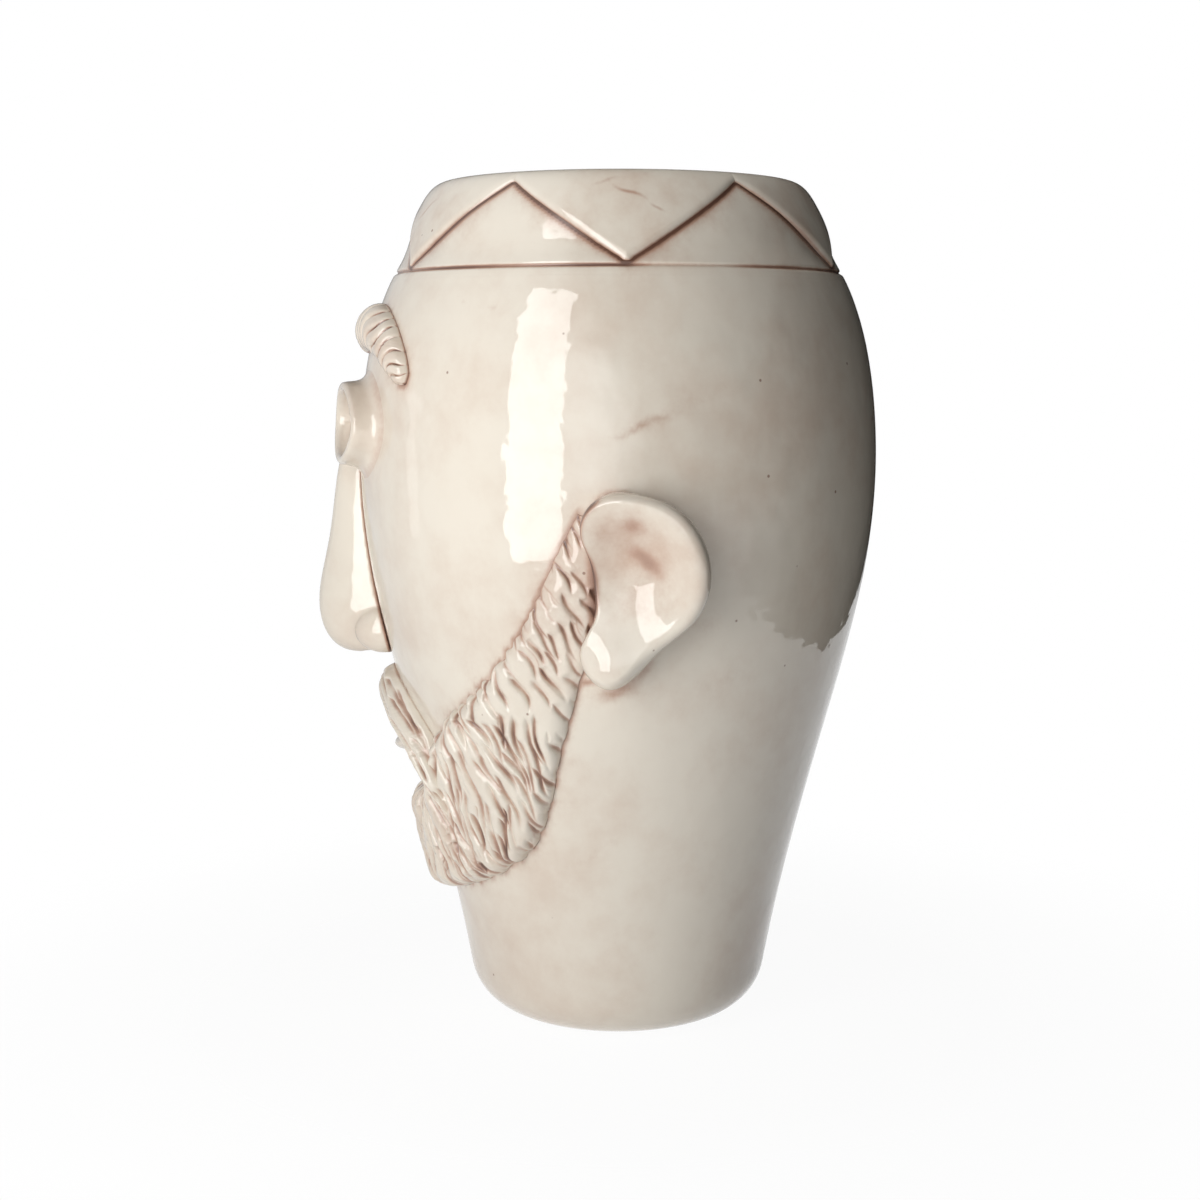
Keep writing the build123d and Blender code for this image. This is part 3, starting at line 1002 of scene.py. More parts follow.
    def dress(self, obj: bpy.types.Object) -> None:
        """Darkens a tongue along its edges with oxide and painted shade, and stains it under the brush.

        Args:
            obj: The tongue, which still carries its lift.
        """
        lift = np.zeros(len(obj.data.vertices), np.float32)
        obj.data.attributes["lift"].data.foreach_get("value", lift)
        places = places_of(obj.data)
        angle, radius = round_axis(places)
        outside = radius > self.wall.radii[-1] - SKIN
        brushed = sum(smear.stain(angle, places[:, 2]) for smear in self.smears) * outside
        # Painted shade and oxide: a dark line where the tongue's edges meet the wall, in the recess under the tongue.
        set_wash(obj.data, np.maximum(0.95 * np.exp(-(lift / 0.5) ** 2), brushed))


# Carved hair


@dataclass
class Cut:
    """One stroke of a modelling tool: steep on one side, where the oxide stays, and soft on the other.

    Places are millimetres round the wall and up it. The steep side is to the right of the stroke's way where
    turn is 1, and to the left where it is -1.
    """

    path: np.ndarray
    depth: float
    steep: float
    soft: float
    turn: float = 1.0

    def carve(self, across: np.ndarray, up: np.ndarray, depth: np.ndarray, line: np.ndarray) -> None:
        """Works the stroke into a pad of clay.

        Args:
            across: Places round the wall.
            up: Places up the wall.
            depth: Depth of the carving so far, deepened in place.
            line: Darkness of the strokes so far, darkened in place.
        """
        reach = 3.4 * max(self.steep, self.soft)
        low, high = self.path.min(axis=0) - reach, self.path.max(axis=0) + reach
        near = (across > low[0]) & (across < high[0]) & (up > low[1]) & (up < high[1])
        spots = np.column_stack((across[near], up[near]))
        if not len(spots):
            return
        steps = np.diff(self.path, axis=0)
        offset = spots[:, None] - self.path[None, :-1]
        share = np.clip((offset * steps).sum(-1) / (steps ** 2).sum(-1), 0, 1)
        away = offset - share[..., None] * steps
        nearest = np.linalg.norm(away, axis=-1).argmin(axis=1)
        rows = np.arange(len(spots))
        away = away[rows, nearest]
        far = np.linalg.norm(away, axis=-1)
        side = (steps[nearest, 0] * away[:, 1] - steps[nearest, 1] * away[:, 0]) * self.turn
        along = (nearest + share[rows, nearest]) / len(steps)
        press = self.depth * eased(along, 0.0, 0.20) * (1 - eased(along, 0.60, 1.0))
        taper = (0.45 + 0.85 * eased(along, 0.0, 0.25)) * (1 - 0.45 * along)
        width = np.where(side > 0, self.soft, self.steep) * taper
        depth[near] = np.maximum(depth[near], press * np.exp(-(far / width) ** 1.35))
        line[near] = np.maximum(line[near], press * np.exp(-(far / (0.72 * self.steep * taper)) ** 2))


@dataclass
class Hair:
    """A pad of clay on the wall between two ragged edges, parted into locks by cuts."""

    node: str
    wall: Wall
    material: bpy.types.Material
    cuts: list
    first_edge: np.ndarray
    second_edge: np.ndarray
    thickness: np.ndarray
    depth: np.ndarray
    first_jag: np.ndarray
    second_jag: np.ndarray
    rows: int
    columns: int
    first_round: float = 8.0
    second_round: float = 9.5
    first_lock: float = 8.0
    second_lock: float = 15.0
    lumps: float = 0.5
    spared: float = 0.72
    ink: float = 1.0
    root: float = 180.0
    root_span: float = 2.5
    root_heights: tuple = (188.0, 204.0)
    root_wash: float = 0.6
    temple_heights: tuple = (165.0, 215.0)
    temple_wash: float = 0.16
    line_wash: float = 0.86
    haze_wash: float = 0.22
    foot_wash: float = 0.4
    foot_span: tuple = (0.1, 1.5)
    flat_span: tuple = (0.25, 0.60)
    seat: float = 1.2
    sunk: float = 0.5
    rims: np.ndarray = field(default_factory=lambda: np.zeros((0, 3)))

    def build(self) -> None:
        """Carves the pad."""
        scale = np.array((CHART, 1.0))
        first = through(self.first_edge, self.rows) * scale
        second = through(self.second_edge, self.rows) * scale
        share = np.linspace(0, 1, self.columns)[None, :]
        across = first[:, :1] * (1 - share) + second[:, :1] * share
        up = first[:, 1:] * (1 - share) + second[:, 1:] * share
        rise = self.rise(first, second, share)
        depth, line = np.zeros_like(across), np.zeros_like(across)
        for cut in self.cuts:
            cut.carve(across, up, depth, line)
        thick, deep = (through(row[:, None], self.rows) for row in (self.thickness, self.depth))
        lump = np.sin(across / 6.1 + up / 9.7) * np.sin(up / 7.3 - across / 12.1)
        pad = (thick + self.lumps * lump) * rise
        carved = np.minimum(deep * depth * np.minimum(1, rise * 2.0), self.spared * pad)
        lift = blurred(pad - carved, 1)
        lift = np.where(rise > 0, lift, -self.sunk)
        places = self.wall.point(across / CHART, up, lift)
        self.rims = places[(rise > 0.05) & (rise < 0.5) & (lift < self.seat)][::2]
        foot = 1 - eased(lift, *self.foot_span)
        haze = blurred(line, 4)
        flat = 0.3 + 0.7 * eased(rise, *self.flat_span)
        turn = np.abs(across) / CHART
        tucked = eased(turn, self.root, self.root + self.root_span) * eased(up, *self.root_heights)
        patch = 0.68 + 0.46 * np.sin(across / 4.3 + up / 7.9) * np.sin(up / 5.1 - across / 6.7)
        wash = self.ink * (self.line_wash * line * patch + self.haze_wash * haze) * flat
        wash = wash + self.foot_wash * foot + self.root_wash * tucked
        wash = wash + self.temple_wash * eased(up, *self.temple_heights)
        obj = new_object(f"{self.node}_glazed", places, sheet_faces(*across.shape), wash)
        mend(obj)
        hand_in(obj, self.material, Slot.RELIEF, self.node)

    def rise(self, first: np.ndarray, second: np.ndarray, share: np.ndarray) -> np.ndarray:
        """Height of the bare pad between its edges, from 0 outside them to 1.

        Args:
            first: Places along the first edge, in millimetres.
            second: Places along the second edge.
            share: Share of the way from the first edge to the second.

        Returns:
            The heights over rows and columns.
        """
        width = np.linalg.norm(second - first, axis=1)[:, None]
        ways = (np.gradient(edge, axis=0) for edge in (first, second))
        way = [np.cumsum(np.linalg.norm(steps, axis=1)) for steps in ways]
        warped = [step + 2.4 * np.sin(step / 8.3) + 1.3 * np.sin(step / 3.9 + 1.0) for step in way]
        tips = (np.sin(math.pi * warped[0] / self.first_lock) ** 2)[:, None]
        lobes = 1 - np.abs(np.sin(math.pi * warped[1] / self.second_lock))[:, None]
        inset = [through(row[:, None], self.rows) for row in (self.first_jag, self.second_jag)]
        first_gap = share * width - inset[0] * tips
        second_gap = (1 - share) * width - inset[1] * lobes
        half = 0.5 * width
        return (rounded(first_gap, np.minimum(self.first_round, half))
                * rounded(second_gap, np.minimum(self.second_round, half)))


@dataclass
class Beard:
    """The beard: a pad down each cheek and one across the chin, carved as one."""

    wall: Wall
    material: bpy.types.Material
    seed: int = 11
    cheek_edge: tuple = ((86.0, 251.0), (81.6, 234.0), (77.6, 217.0), (72.4, 199.5), (65.0, 182.0), (55.6, 166.5),
                         (46.5, 155.0), (38.5, 142.0), (33.5, 128.0), (28.0, 118.5), (22.0, 114.5))
    rear_edge: tuple = ((90.5, 247.0), (92.0, 224.0), (90.0, 202.0), (85.8, 178.0), (82.6, 158.0), (79.2, 139.0),
                        (76.0, 119.0), (70.4, 99.0), (59.5, 84.0), (41.0, 71.5), (22.0, 63.5))
    cheek_thick: tuple = (2.0, 3.2, 4.0, 4.8, 5.8, 7.0, 8.0, 9.0, 9.8, 10.6, 11.2)
    cheek_depth: tuple = (1.2, 1.7, 2.0, 2.2, 2.6, 3.1, 3.4, 3.6, 3.7, 3.7, 3.7)
    cheek_jag: tuple = (0.1, 0.3, 0.5, 0.9, 1.9, 2.8, 2.8, 2.0, 1.0, 1.0, 1.0)
    rear_jag: tuple = (0.2, 0.3, 0.4, 0.5, 0.7, 0.9, 1.0, 1.3, 1.8, 2.0, 2.0)
    chin_top: tuple = (114.5, 112.0, 111.0, 112.0, 114.5)
    chin_bottom: tuple = (63.5, 61.0, 60.0, 61.0, 63.5)
    chin_thick: tuple = (11.2, 12.0, 12.4, 12.0, 11.2)
    chin_depth: tuple = (3.7, 3.9, 3.9, 3.9, 3.7)
    chin_top_jag: tuple = (1.0, 1.0, 1.0, 1.0, 1.0)
    chin_bottom_jag: tuple = (3.0, 3.2, 3.2, 3.2, 3.0)
    chin_half: float = 22.0
    lean: float = 28.0
    tries: int = 9000
    spacing: float = 5.0
    cut_span: float = 94.0
    cut_heights: tuple = (60.0, 256.0)
    cut_lengths: tuple = (15.0, 24.0)
    cut_depths: tuple = (0.55, 1.0)
    cut_softs: tuple = (2.1, 3.0)
    pits: int = 18
    pit_span: tuple = (4.0, 76.0)
    pit_heights: tuple = (76.0, 162.0)
    pit_lengths: tuple = (7.0, 13.0)
    pit_depths: tuple = (1.05, 1.3)
    pit_softs: tuple = (1.8, 2.6)
    hairs: int = 240
    hair_span: float = 90.0
    hair_heights: tuple = (62.0, 250.0)
    hair_lengths: tuple = (7.0, 15.0)
    hair_depths: tuple = (0.14, 0.36)
    pads: list = field(default_factory=list)

    def flow(self, across: float, up: float) -> float:
        """Lean of the hair from straight down, towards the ear.

        Args:
            across: A place round the left half of the wall.
            up: Its height.

        Returns:
            The lean in radians.
        """
        edge = np.array(self.cheek_edge)[::-1]
        inwards = across - np.interp(up, edge[:, 1], edge[:, 0]) * CHART
        low = 1 - float(eased(up, 160.0, 186.0))
        combed = (1 - float(eased(inwards, 0.0, 15.0))) * low
        middle = float(eased(across / CHART, 2.0, 20.0))
        wave = (6.0 + 4.0 * low) * math.sin(up / 11.0 + across / 15.0)
        return math.radians(((self.lean - 8.0 * low) * (1 - 1.3 * combed) + wave) * middle)

    def stroke(self, rng: np.random.Generator, start: tuple, length: float, stray: float) -> np.ndarray:
        """A path that follows the hair down from a place on the left half.

        Args:
            rng: Source of the hand's unevenness.
            start: Where the stroke begins.
            length: Its length.
            stray: How far it may lean off the flow, in degrees.

        Returns:
            The places along the path.
        """
        count = 9
        lean = math.radians(rng.normal(0, stray))
        sway = math.radians(rng.uniform(11.0, 22.0))
        phase = start[1] / 9.0 + start[0] / 13.0 + rng.normal(0, 0.7)
        places = [np.array(start, float)]
        for index in range(count):
            across, up = places[-1]
            turn = self.flow(across, up) + lean + sway * math.sin(phase + 5.4 * index / count)
            places.append(places[-1] + np.array((math.sin(turn), -math.cos(turn))) * length / count)
        return np.array(places)

    def half(self, side: Side) -> list:
        """Lays out the cuts over one half of the beard, none too near another.

        Args:
            side: The half.

        Returns:
            The cuts.
        """
        rng = np.random.default_rng(self.seed + side.value)
        starts, cuts = np.zeros((0, 2)), []
        flip = side.flip()
        for _ in range(self.tries):
            across, up = rng.uniform(0.0, self.cut_span * CHART), rng.uniform(*self.cut_heights)
            low = 1 - float(eased(up, 140.0, 200.0))
            turn = self.flow(across, up)
            away = starts - (across, up)
            beside = away[:, 0] * math.cos(turn) + away[:, 1] * math.sin(turn)
            ahead = away[:, 0] * math.sin(turn) - away[:, 1] * math.cos(turn)
            if np.any(np.hypot(beside / self.spacing, ahead / (self.spacing * 2.3)) < 1):
                continue
            starts = np.vstack((starts, (across, up)))
            length = rng.uniform(*self.cut_lengths) * (1 + 0.7 * low)
            path = self.stroke(rng, (across, up), length, 3.5 + 3.5 * low)
            depth = rng.uniform(*self.cut_depths)
            soft = rng.uniform(*self.cut_softs) - 0.5 * low
            cuts.append(Cut(path * flip, depth, 0.8 + 0.2 * low, soft, side.value))
        for _ in range(self.pits):
            angle, up = rng.uniform(*self.pit_span), rng.uniform(*self.pit_heights)
            path = self.stroke(rng, (angle * CHART, up), rng.uniform(*self.pit_lengths), 9.0)
            depth, soft = rng.uniform(*self.pit_depths), rng.uniform(*self.pit_softs)
            cuts.append(Cut(path * flip, depth, 1.45, soft, side.value))
        for _ in range(self.hairs):
            across, up = rng.uniform(0.0, self.hair_span * CHART), rng.uniform(*self.hair_heights)
            path = self.stroke(rng, (across, up), rng.uniform(*self.hair_lengths), 6.0)
            cuts.append(Cut(path * flip, rng.uniform(*self.hair_depths), 0.55, 0.8, side.value))
        return cuts

    def build(self) -> None:
        """Carves the three pads."""
        cuts = [cut for side in Side for cut in self.half(side)]
        rows = [np.array(row) for row in (self.cheek_thick, self.cheek_depth, self.cheek_jag, self.rear_jag)]
        for side in Side:
            first, second = (np.array(edge) * side.flip() for edge in (self.cheek_edge, self.rear_edge))
            self.pads.append(Hair(side.named("beard"), self.wall, self.material, cuts, first, second, *rows,
                                  rows=470, columns=205, root=87.0))
        angles = np.linspace(self.chin_half, -self.chin_half, len(self.chin_top))
        first, second = (np.column_stack((angles, heights)) for heights in (self.chin_top, self.chin_bottom))
        rows = [np.array(row) for row in (self.chin_thick, self.chin_depth, self.chin_top_jag, self.chin_bottom_jag)]
        self.pads.append(Hair("beard_chin", self.wall, self.material, cuts, first, second, *rows,
                              rows=200, columns=150))
        for pad in self.pads:
            pad.build()


@dataclass
class Moustache:
    """The two halves of the moustache, parted into long strands."""

    wall: Wall
    material: bpy.types.Material
    seed: int = 5
    stations: tuple = ((1.2, 163.0, 11.0, 7.5), (10.0, 161.0, 18.0, 10.5), (21.0, 152.0, 21.0, 11.5),
                       (31.0, 139.0, 19.0, 12.5), (38.0, 124.0, 14.0, 13.0), (42.0, 108.0, 6.0, 8.5))
    depth: float = 2.8
    strands: int = 8
    strokes: int = 5
    cover: float = 0.47
    pads: list = field(default_factory=list)

    def path(self, count: int) -> tuple:
        """The middle line of the left half.

        Args:
            count: How many places to give.

        Returns:
            The places, the directions across the strand, and the widths.
        """
        rows = through(np.array(self.stations), count)
        middle = rows[:, :2] * np.array((CHART, 1.0))
        ahead = directions(middle)
        return middle, np.column_stack((-ahead[:, 1], ahead[:, 0])), rows[:, 2:3]

    def cuts(self, side: Side) -> list:
        """Lays out the strokes along one half.

        Args:
            side: The half.

        Returns:
            The cuts.
        """
        rng = np.random.default_rng(self.seed + side.value)
        count = 60
        middle, beside, width = self.path(count)
        cuts = []
        for strand in range(self.strands):
            for stroke in range(self.strokes):
                first = int((stroke + rng.uniform(-0.4, 0.3)) * count / self.strokes)
                last = first + int(rng.uniform(1.0, 1.8) * count / self.strokes)
                reach = np.arange(max(first, 0), min(last, count - 1) + 1)
                strand_place = (strand + 0.5 + rng.uniform(-0.3, 0.3)) / self.strands
                share = self.cover * math.sin(math.pi * (strand_place - 0.5))
                drift = np.linspace(0.0, rng.uniform(-0.16, 0.16), len(reach))[:, None]
                places = middle[reach] + beside[reach] * width[reach] * (share + drift)
                cuts.append(Cut(places * side.flip(), rng.uniform(0.6, 1.0), 0.5, 1.1, side.value))
        return [cut for cut in cuts if len(cut.path) > 3]

    def build(self) -> None:
        """Carves both halves."""
        middle, beside, width = self.path(len(self.stations))
        thick = np.array(self.stations)[:, 3]
        even = np.ones(len(thick))
        for side in Side:
            flip = np.array((side.value / CHART, 1.0))
            upper, lower = (middle + beside * width / 2) * flip, (middle - beside * width / 2) * flip
            self.pads.append(Hair(side.named("moustache"), self.wall, self.material, self.cuts(side), upper, lower,
                                  thick, self.depth * even, 0.1 * even, 0.7 * even, rows=320, columns=110,
                                  first_round=12.0, second_round=12.0, lumps=0.2, ink=0.9))
        for pad in self.pads:
            pad.build()


@dataclass
class Brows:
    """The brows: tapering rolls pressed into slanting ridges."""

    wall: Wall
    material: bpy.types.Material
    stations: tuple = ((9.0, 323.0, 12.0, 5.0), (15.0, 329.0, 20.0, 9.0), (23.0, 330.0, 22.0, 9.5),
                       (32.0, 324.0, 19.0, 8.5), (39.0, 314.0, 14.0, 7.0), (43.0, 305.0, 7.0, 4.5))
    ridges: float = 13.0
    slant: float = -0.30
    groove: float = 0.32
    rows: int = 260
    columns: int = 90
    sunk: float = 0.6
    rims: np.ndarray = field(default_factory=lambda: np.zeros((0, 3)))

    def build(self) -> None:
        """Presses both brows."""
        tree = self.ridge_tree()
        rows = through(np.array(self.stations), self.rows)
        path = np.column_stack((rows[:, 0] * CHART, rows[:, 1]))
        ahead = directions(path)
        share = np.linspace(-1, 1, self.columns)[None, :]
        along = np.linspace(0, 1, self.rows)
        ends = np.sqrt(np.clip(np.minimum(along, along[::-1]) / 0.05, 0.02, 1))
        along = along[:, None]
        half = rows[:, 2] / 2 * ends
        across = path[:, :1] - ahead[:, 1:] * half[:, None] * share
        up = path[:, 1:] + ahead[:, :1] * half[:, None] * share
        rims = []
        for side in Side:
            angle = across / CHART * side.value
            ground = self.wall.point(angle, up, np.full(angle.shape, -self.sunk))
            normal = self.wall.point(angle, up, np.full(angle.shape, 1.0 - self.sunk)) - ground
            name = side.named("brow")
            obj = new_object(f"{name}_glazed", ground, sheet_faces(*angle.shape))
            numbers = {"along": np.broadcast_to(along, angle.shape),
                       "across": np.broadcast_to(share, angle.shape),
                       "reach": np.broadcast_to((rows[:, 3] * ends)[:, None], angle.shape),
                       "out_x": normal[..., 0], "out_y": normal[..., 1], "out_z": normal[..., 2]}
            lay_numbers(obj.data, numbers)
            tree.run(obj, {"Ridges": self.ridges, "Slant": self.slant, "Groove": self.groove, "Sunk": self.sunk})
            reached = np.linalg.norm(places_of(obj.data) - ground.reshape(-1, 3), axis=1).reshape(angle.shape)
            pit = np.clip((blurred(reached, 5) - reached) / 0.55, 0, 1)
            foot = 1 - eased(reached, 0.6, 2.2)
            drop_numbers(obj.data, numbers)
            patchy = 0.55 + 0.45 * np.sin(along * 23.0 + share * 2.4) * np.sin(along * 61.0 - share * 3.1)
            set_wash(obj.data, np.clip(1.15 * pit * patchy + 0.7 * foot + 0.08, 0, 1))
            rims.append(places_of(obj.data).reshape(*angle.shape, 3)[:, (2, -3)].reshape(-1, 3))
            mend(obj)
            hand_in(obj, self.material, Slot.RELIEF, name)
        self.rims = np.concatenate(rims)

    def ridge_tree(self) -> GeometryTree:
        """Makes the tree that raises a roll off the wall and presses ridges across it.

        Returns:
            The tree, which takes the ridges' number, slant and depth, and how far the roll is sunk.
        """
        tree = GeometryTree("press_ridges")
        ridges, slant, groove, sunk = (tree.input(name) for name in ("Ridges", "Slant", "Groove", "Sunk"))
        along, across, reach = (tree.attribute(name) for name in ("along", "across", "reach"))
        swell = (1 - across * across).call("MAXIMUM", 0.0).call("SQRT")
        bent = (along * 17.0 + across * 2.6).call("SINE") * 0.24
        wave = (along * ridges + across * slant + bent) % 1.0
        lobe = (1 - (wave * 2 - 1).call("ABSOLUTE") ** 4.0).call("MAXIMUM", 0.0)
        height = (reach * swell * (1 - groove + groove * lobe) + sunk * swell) * MM
        out = tree.vector(*(tree.attribute(name) for name in ("out_x", "out_y", "out_z")))
        offset = tree.node("ShaderNodeVectorMath", {"operation": "SCALE"}, {0: out, "Scale": height})
        mesh = tree.node("GeometryNodeSetPosition", {}, {"Geometry": tree.geometry(), "Offset": offset})
        tree.close(mesh, self.material)
        return tree


# Ears, eyes, nose and lips


@dataclass(frozen=True)
class Blot:
    """A soft oval stain on a flat piece, whose two directions may be turned."""

    strength: float
    middle: tuple
    spread: tuple
    turn: tuple = (1.0, 0.0)

    def stain(self, x: np.ndarray, y: np.ndarray) -> np.ndarray:
        """How dark the blot is.

        Args:
            x: Places along the first direction, before the turn.
            y: Places along the second.

        Returns:
            The strength at each place.
        """
        turned = (self.turn[0] * x - self.turn[1] * y, self.turn[1] * x + self.turn[0] * y)
        rows = zip(turned, self.middle, self.spread)
        return self.strength * np.exp(-sum(((place - middle) / spread) ** 2 for place, middle, spread in rows))


@dataclass
class Ears:
    """Both ears: plates hollowed to a bowl inside a rolled rim, with a thick lobe."""

    wall: Wall
    material: bpy.types.Material
    angle: float = 87.0
    height: float = 213.0
    lift: float = 4.0
    flare: float = 10.0
    half_thick: float = 6.0
    root_thick: float = 12.0
    root_span: tuple = (4.0, 30.0)
    places: tuple = ((4.0, 44.0), (25.0, 49.8), (46.0, 41.4), (56.3, 18.0), (50.3, -2.2), (34.0, -18.0), (23.0, -30.4),
                     (12.0, -36.8), (0.6, -29.5), (-1.5, -21.0), (4.5, -7.2), (5.6, 7.0), (3.4, 21.6), (0.3, 34.0))
    centre: tuple = (24.0, 10.0)
    bowl_middle: tuple = (24.5, 16.5)
    bowl_half: tuple = (33.0, 39.0)
    bowl_depth: float = 8.5
    rim_roll: float = 8.0
    rim_tight: float = 2.6
    wide_back: tuple = (18.0, 46.0)
    wide_low: tuple = (-14.0, 8.0)
    lobe: tuple = (14.0, -28.0)
    lobe_spread: float = 10.5
    lobe_swell: float = 6.0
    rays: int = 260
    rings: int = 90
    joint_reach: float = 2.2
    joint_back: tuple = (6.0, 12.0)
    joint_low: tuple = (-28.0, -16.0)
    back_wash: float = 0.15
    seat: float = 1.2
    # Rims lower than this under the ear's root get the darker line, partly painted shade.
    low_drop: float = 8.0
    blots: tuple = (Blot(0.36, (23.0, 37.0), (6.0, 4.6)), Blot(0.20, (11.0, 33.0), (6.0, 6.0)),
                    Blot(0.36, (9.0, 34.0), (9.0, 3.6), (0.77, 0.64)), Blot(0.16, (24.0, 18.0), (20.0, 24.0)))
    low_rims: list = field(default_factory=list)
    high_rims: list = field(default_factory=list)

    def build(self) -> None:
        """Shapes both ears."""
        outline = ring_through(np.array(self.places), self.rays)
        centre = np.array(self.centre)
        share = 1 - (1 - np.linspace(0, 1, self.rings)) ** 1.7
        flat = centre + (outline - centre)[None] * share[:, None, None]
        edge = np.linalg.norm(outline - centre, axis=1)[None] * (1 - share[:, None])
        x, y = flat[..., 0], flat[..., 1]
        front = self.front(x, y)
        back = -self.half_thick - self.root_thick * (1 - eased(x, *self.root_span))
        wide = np.maximum(eased(x, *self.wide_back), 1 - eased(y, *self.wide_low))
        roll = self.rim_tight + (self.rim_roll - self.rim_tight) * wide
        faced = np.stack((x, y, front * rounded(edge, roll)), -1)
        backed = np.stack((x, y, back * rounded(edge, self.rim_roll * 0.5)), -1)
        shell = np.concatenate((faced, backed[-2::-1]))
        hollow = np.clip((blurred(front, 8) - front) / 1.5, 0, 1)
        joint = np.exp(-(edge / self.joint_reach) ** 2)
        joint = joint * (1 - eased(x, *self.joint_back)) * eased(y, *self.joint_low)
        stained = sum(blot.stain(x, y) for blot in self.blots)
        wash = np.concatenate((0.5 * hollow + joint + stained, 0 * back[-2::-1] + self.back_wash))
        faces = grid_faces(len(shell), self.rays, ring=True).tolist()
        for side in Side:
            places = self.placed(shell) * np.array((side.value, 1, 1))
            name = side.named("ear")
            obj = new_object(f"{name}_glazed", places, faces, wash)
            mend(obj)
            near = np.abs(round_axis(places)[1] - self.wall.radius(places[..., 2])) < self.seat
            rims = places[near][::2]
            # Rims under the ear are kept apart for a darker line of oxide and painted shade.
            low = rims[:, 2] < self.height - self.low_drop
            self.low_rims.append(rims[low])
            self.high_rims.append(rims[~low])
            hand_in(obj, self.material, Slot.WALL, name)

    def front(self, x: np.ndarray, y: np.ndarray) -> np.ndarray:
        """Height of the ear's front over its middle plane.

        Args:
            x: Places backwards from the root.
            y: Places up from the root.

        Returns:
            The heights.
        """
        across, up = ((place - middle) / half for place, middle, half in zip((x, y), self.bowl_middle, self.bowl_half))
        bowl = self.bowl_depth * (1 - eased(np.hypot(across, up), 0.12, 1.0))
        lobe = np.exp(-((x - self.lobe[0]) ** 2 + (y - self.lobe[1]) ** 2) / (2 * self.lobe_spread ** 2))
        return self.half_thick - bowl + self.lobe_swell * lobe

    def placed(self, shell: np.ndarray) -> np.ndarray:
        """Turns the left ear's own places into places on the vase.

        Args:
            shell: Places backwards and up from the ear's root, and off its middle plane.

        Returns:
            The places on the vase.
        """
        root = np.array(self.angle), np.array(self.height)
        base = self.wall.point(*root, np.array(0.0))
        out = self.wall.point(*root, np.array(1.0)) - base
        turn = math.radians(self.angle)
        back = np.array((math.cos(turn), math.sin(turn), 0.0))
        up = np.cross(out, back)
        lean = math.radians(self.flare)
        plate_back = back * math.cos(lean) + out * math.sin(lean)
        plate_out = out * math.cos(lean) - back * math.sin(lean)
        base = base + out * self.lift
        return base + shell[..., :1] * plate_back + shell[..., 1:2] * up + shell[..., 2:] * plate_out


@dataclass
class Sockets:
    """Raised almond rims round the eyes, run out smoothly on to the wall."""

    wall: Wall
    material: bpy.types.Material
    angle: float = 20.0
    height: float = 286.0
    turn: float = -5.0
    half_wide: float = 19.5
    half_tall: float = 13.5
    section: tuple = ((13.0, -0.6), (10.5, 0.4), (8.2, 1.6), (6.6, 3.6), (5.6, 6.4), (5.0, 9.4), (4.2, 11.4),
                      (2.8, 12.1), (1.4, 11.5), (0.6, 9.6), (0.2, 6.0), (0.0, 2.0), (0.0, -2.0))
    pinch: float = 0.30
    rays: int = 200
    rings: int = 60
    chart: float = 2.1
    foot_wash: float = 0.25
    foot_span: tuple = (0.0, 3.0)
    inner_wash: float = 0.8
    inner_span: tuple = (1.0, 6.0)
    rims: np.ndarray = field(default_factory=lambda: np.zeros((0, 3)))

    def build(self) -> None:
        """Shapes both rims."""
        section = through(np.array(self.section), self.rings)
        turn = np.linspace(0, math.tau, self.rays, endpoint=False)
        pinch = 1 - self.pinch * np.abs(np.cos(turn)) ** 3
        x = self.half_wide * np.cos(turn)
        y = self.half_tall * np.sin(turn) * pinch
        step = np.column_stack((np.roll(x, -1) - np.roll(x, 1), np.roll(y, -1) - np.roll(y, 1)))
        out = np.column_stack((step[:, 1], -step[:, 0])) / np.linalg.norm(step, axis=1)[:, None]
        lean = math.radians(self.turn)
        flat_x = x[None] + out[None, :, 0] * section[:, :1]
        flat_y = y[None] + out[None, :, 1] * section[:, :1]
        across = flat_x * math.cos(lean) - flat_y * math.sin(lean)
        up = flat_x * math.sin(lean) + flat_y * math.cos(lean)
        lift = np.broadcast_to(section[:, 1:], across.shape)
        index = np.arange(self.rings * self.rays).reshape(self.rings, self.rays)
        faces = grid_faces(self.rings, self.rays, ring=True).tolist()
        faces += np.stack((index[-1], np.roll(index[-1], -1), np.roll(index[0], -1), index[0]), -1).tolist()
        outer = (np.arange(self.rings) < self.rings / 2)[:, None]
        foot = self.foot_wash * (1 - eased(lift, *self.foot_span))
        wash = np.where(outer, foot, self.inner_wash * (1 - eased(lift, *self.inner_span)))
        rims = []
        for side in Side:
            angle = (self.angle + across / self.chart) * side.value
            places = self.wall.point(angle, self.height + up, lift)
            name = side.named("eye_socket")
            obj = new_object(f"{name}_glazed", places, faces, wash)
            mend(obj)
            rims.append(places[0])
            hand_in(obj, self.material, Slot.WALL, name)
        self.rims = np.concatenate(rims)


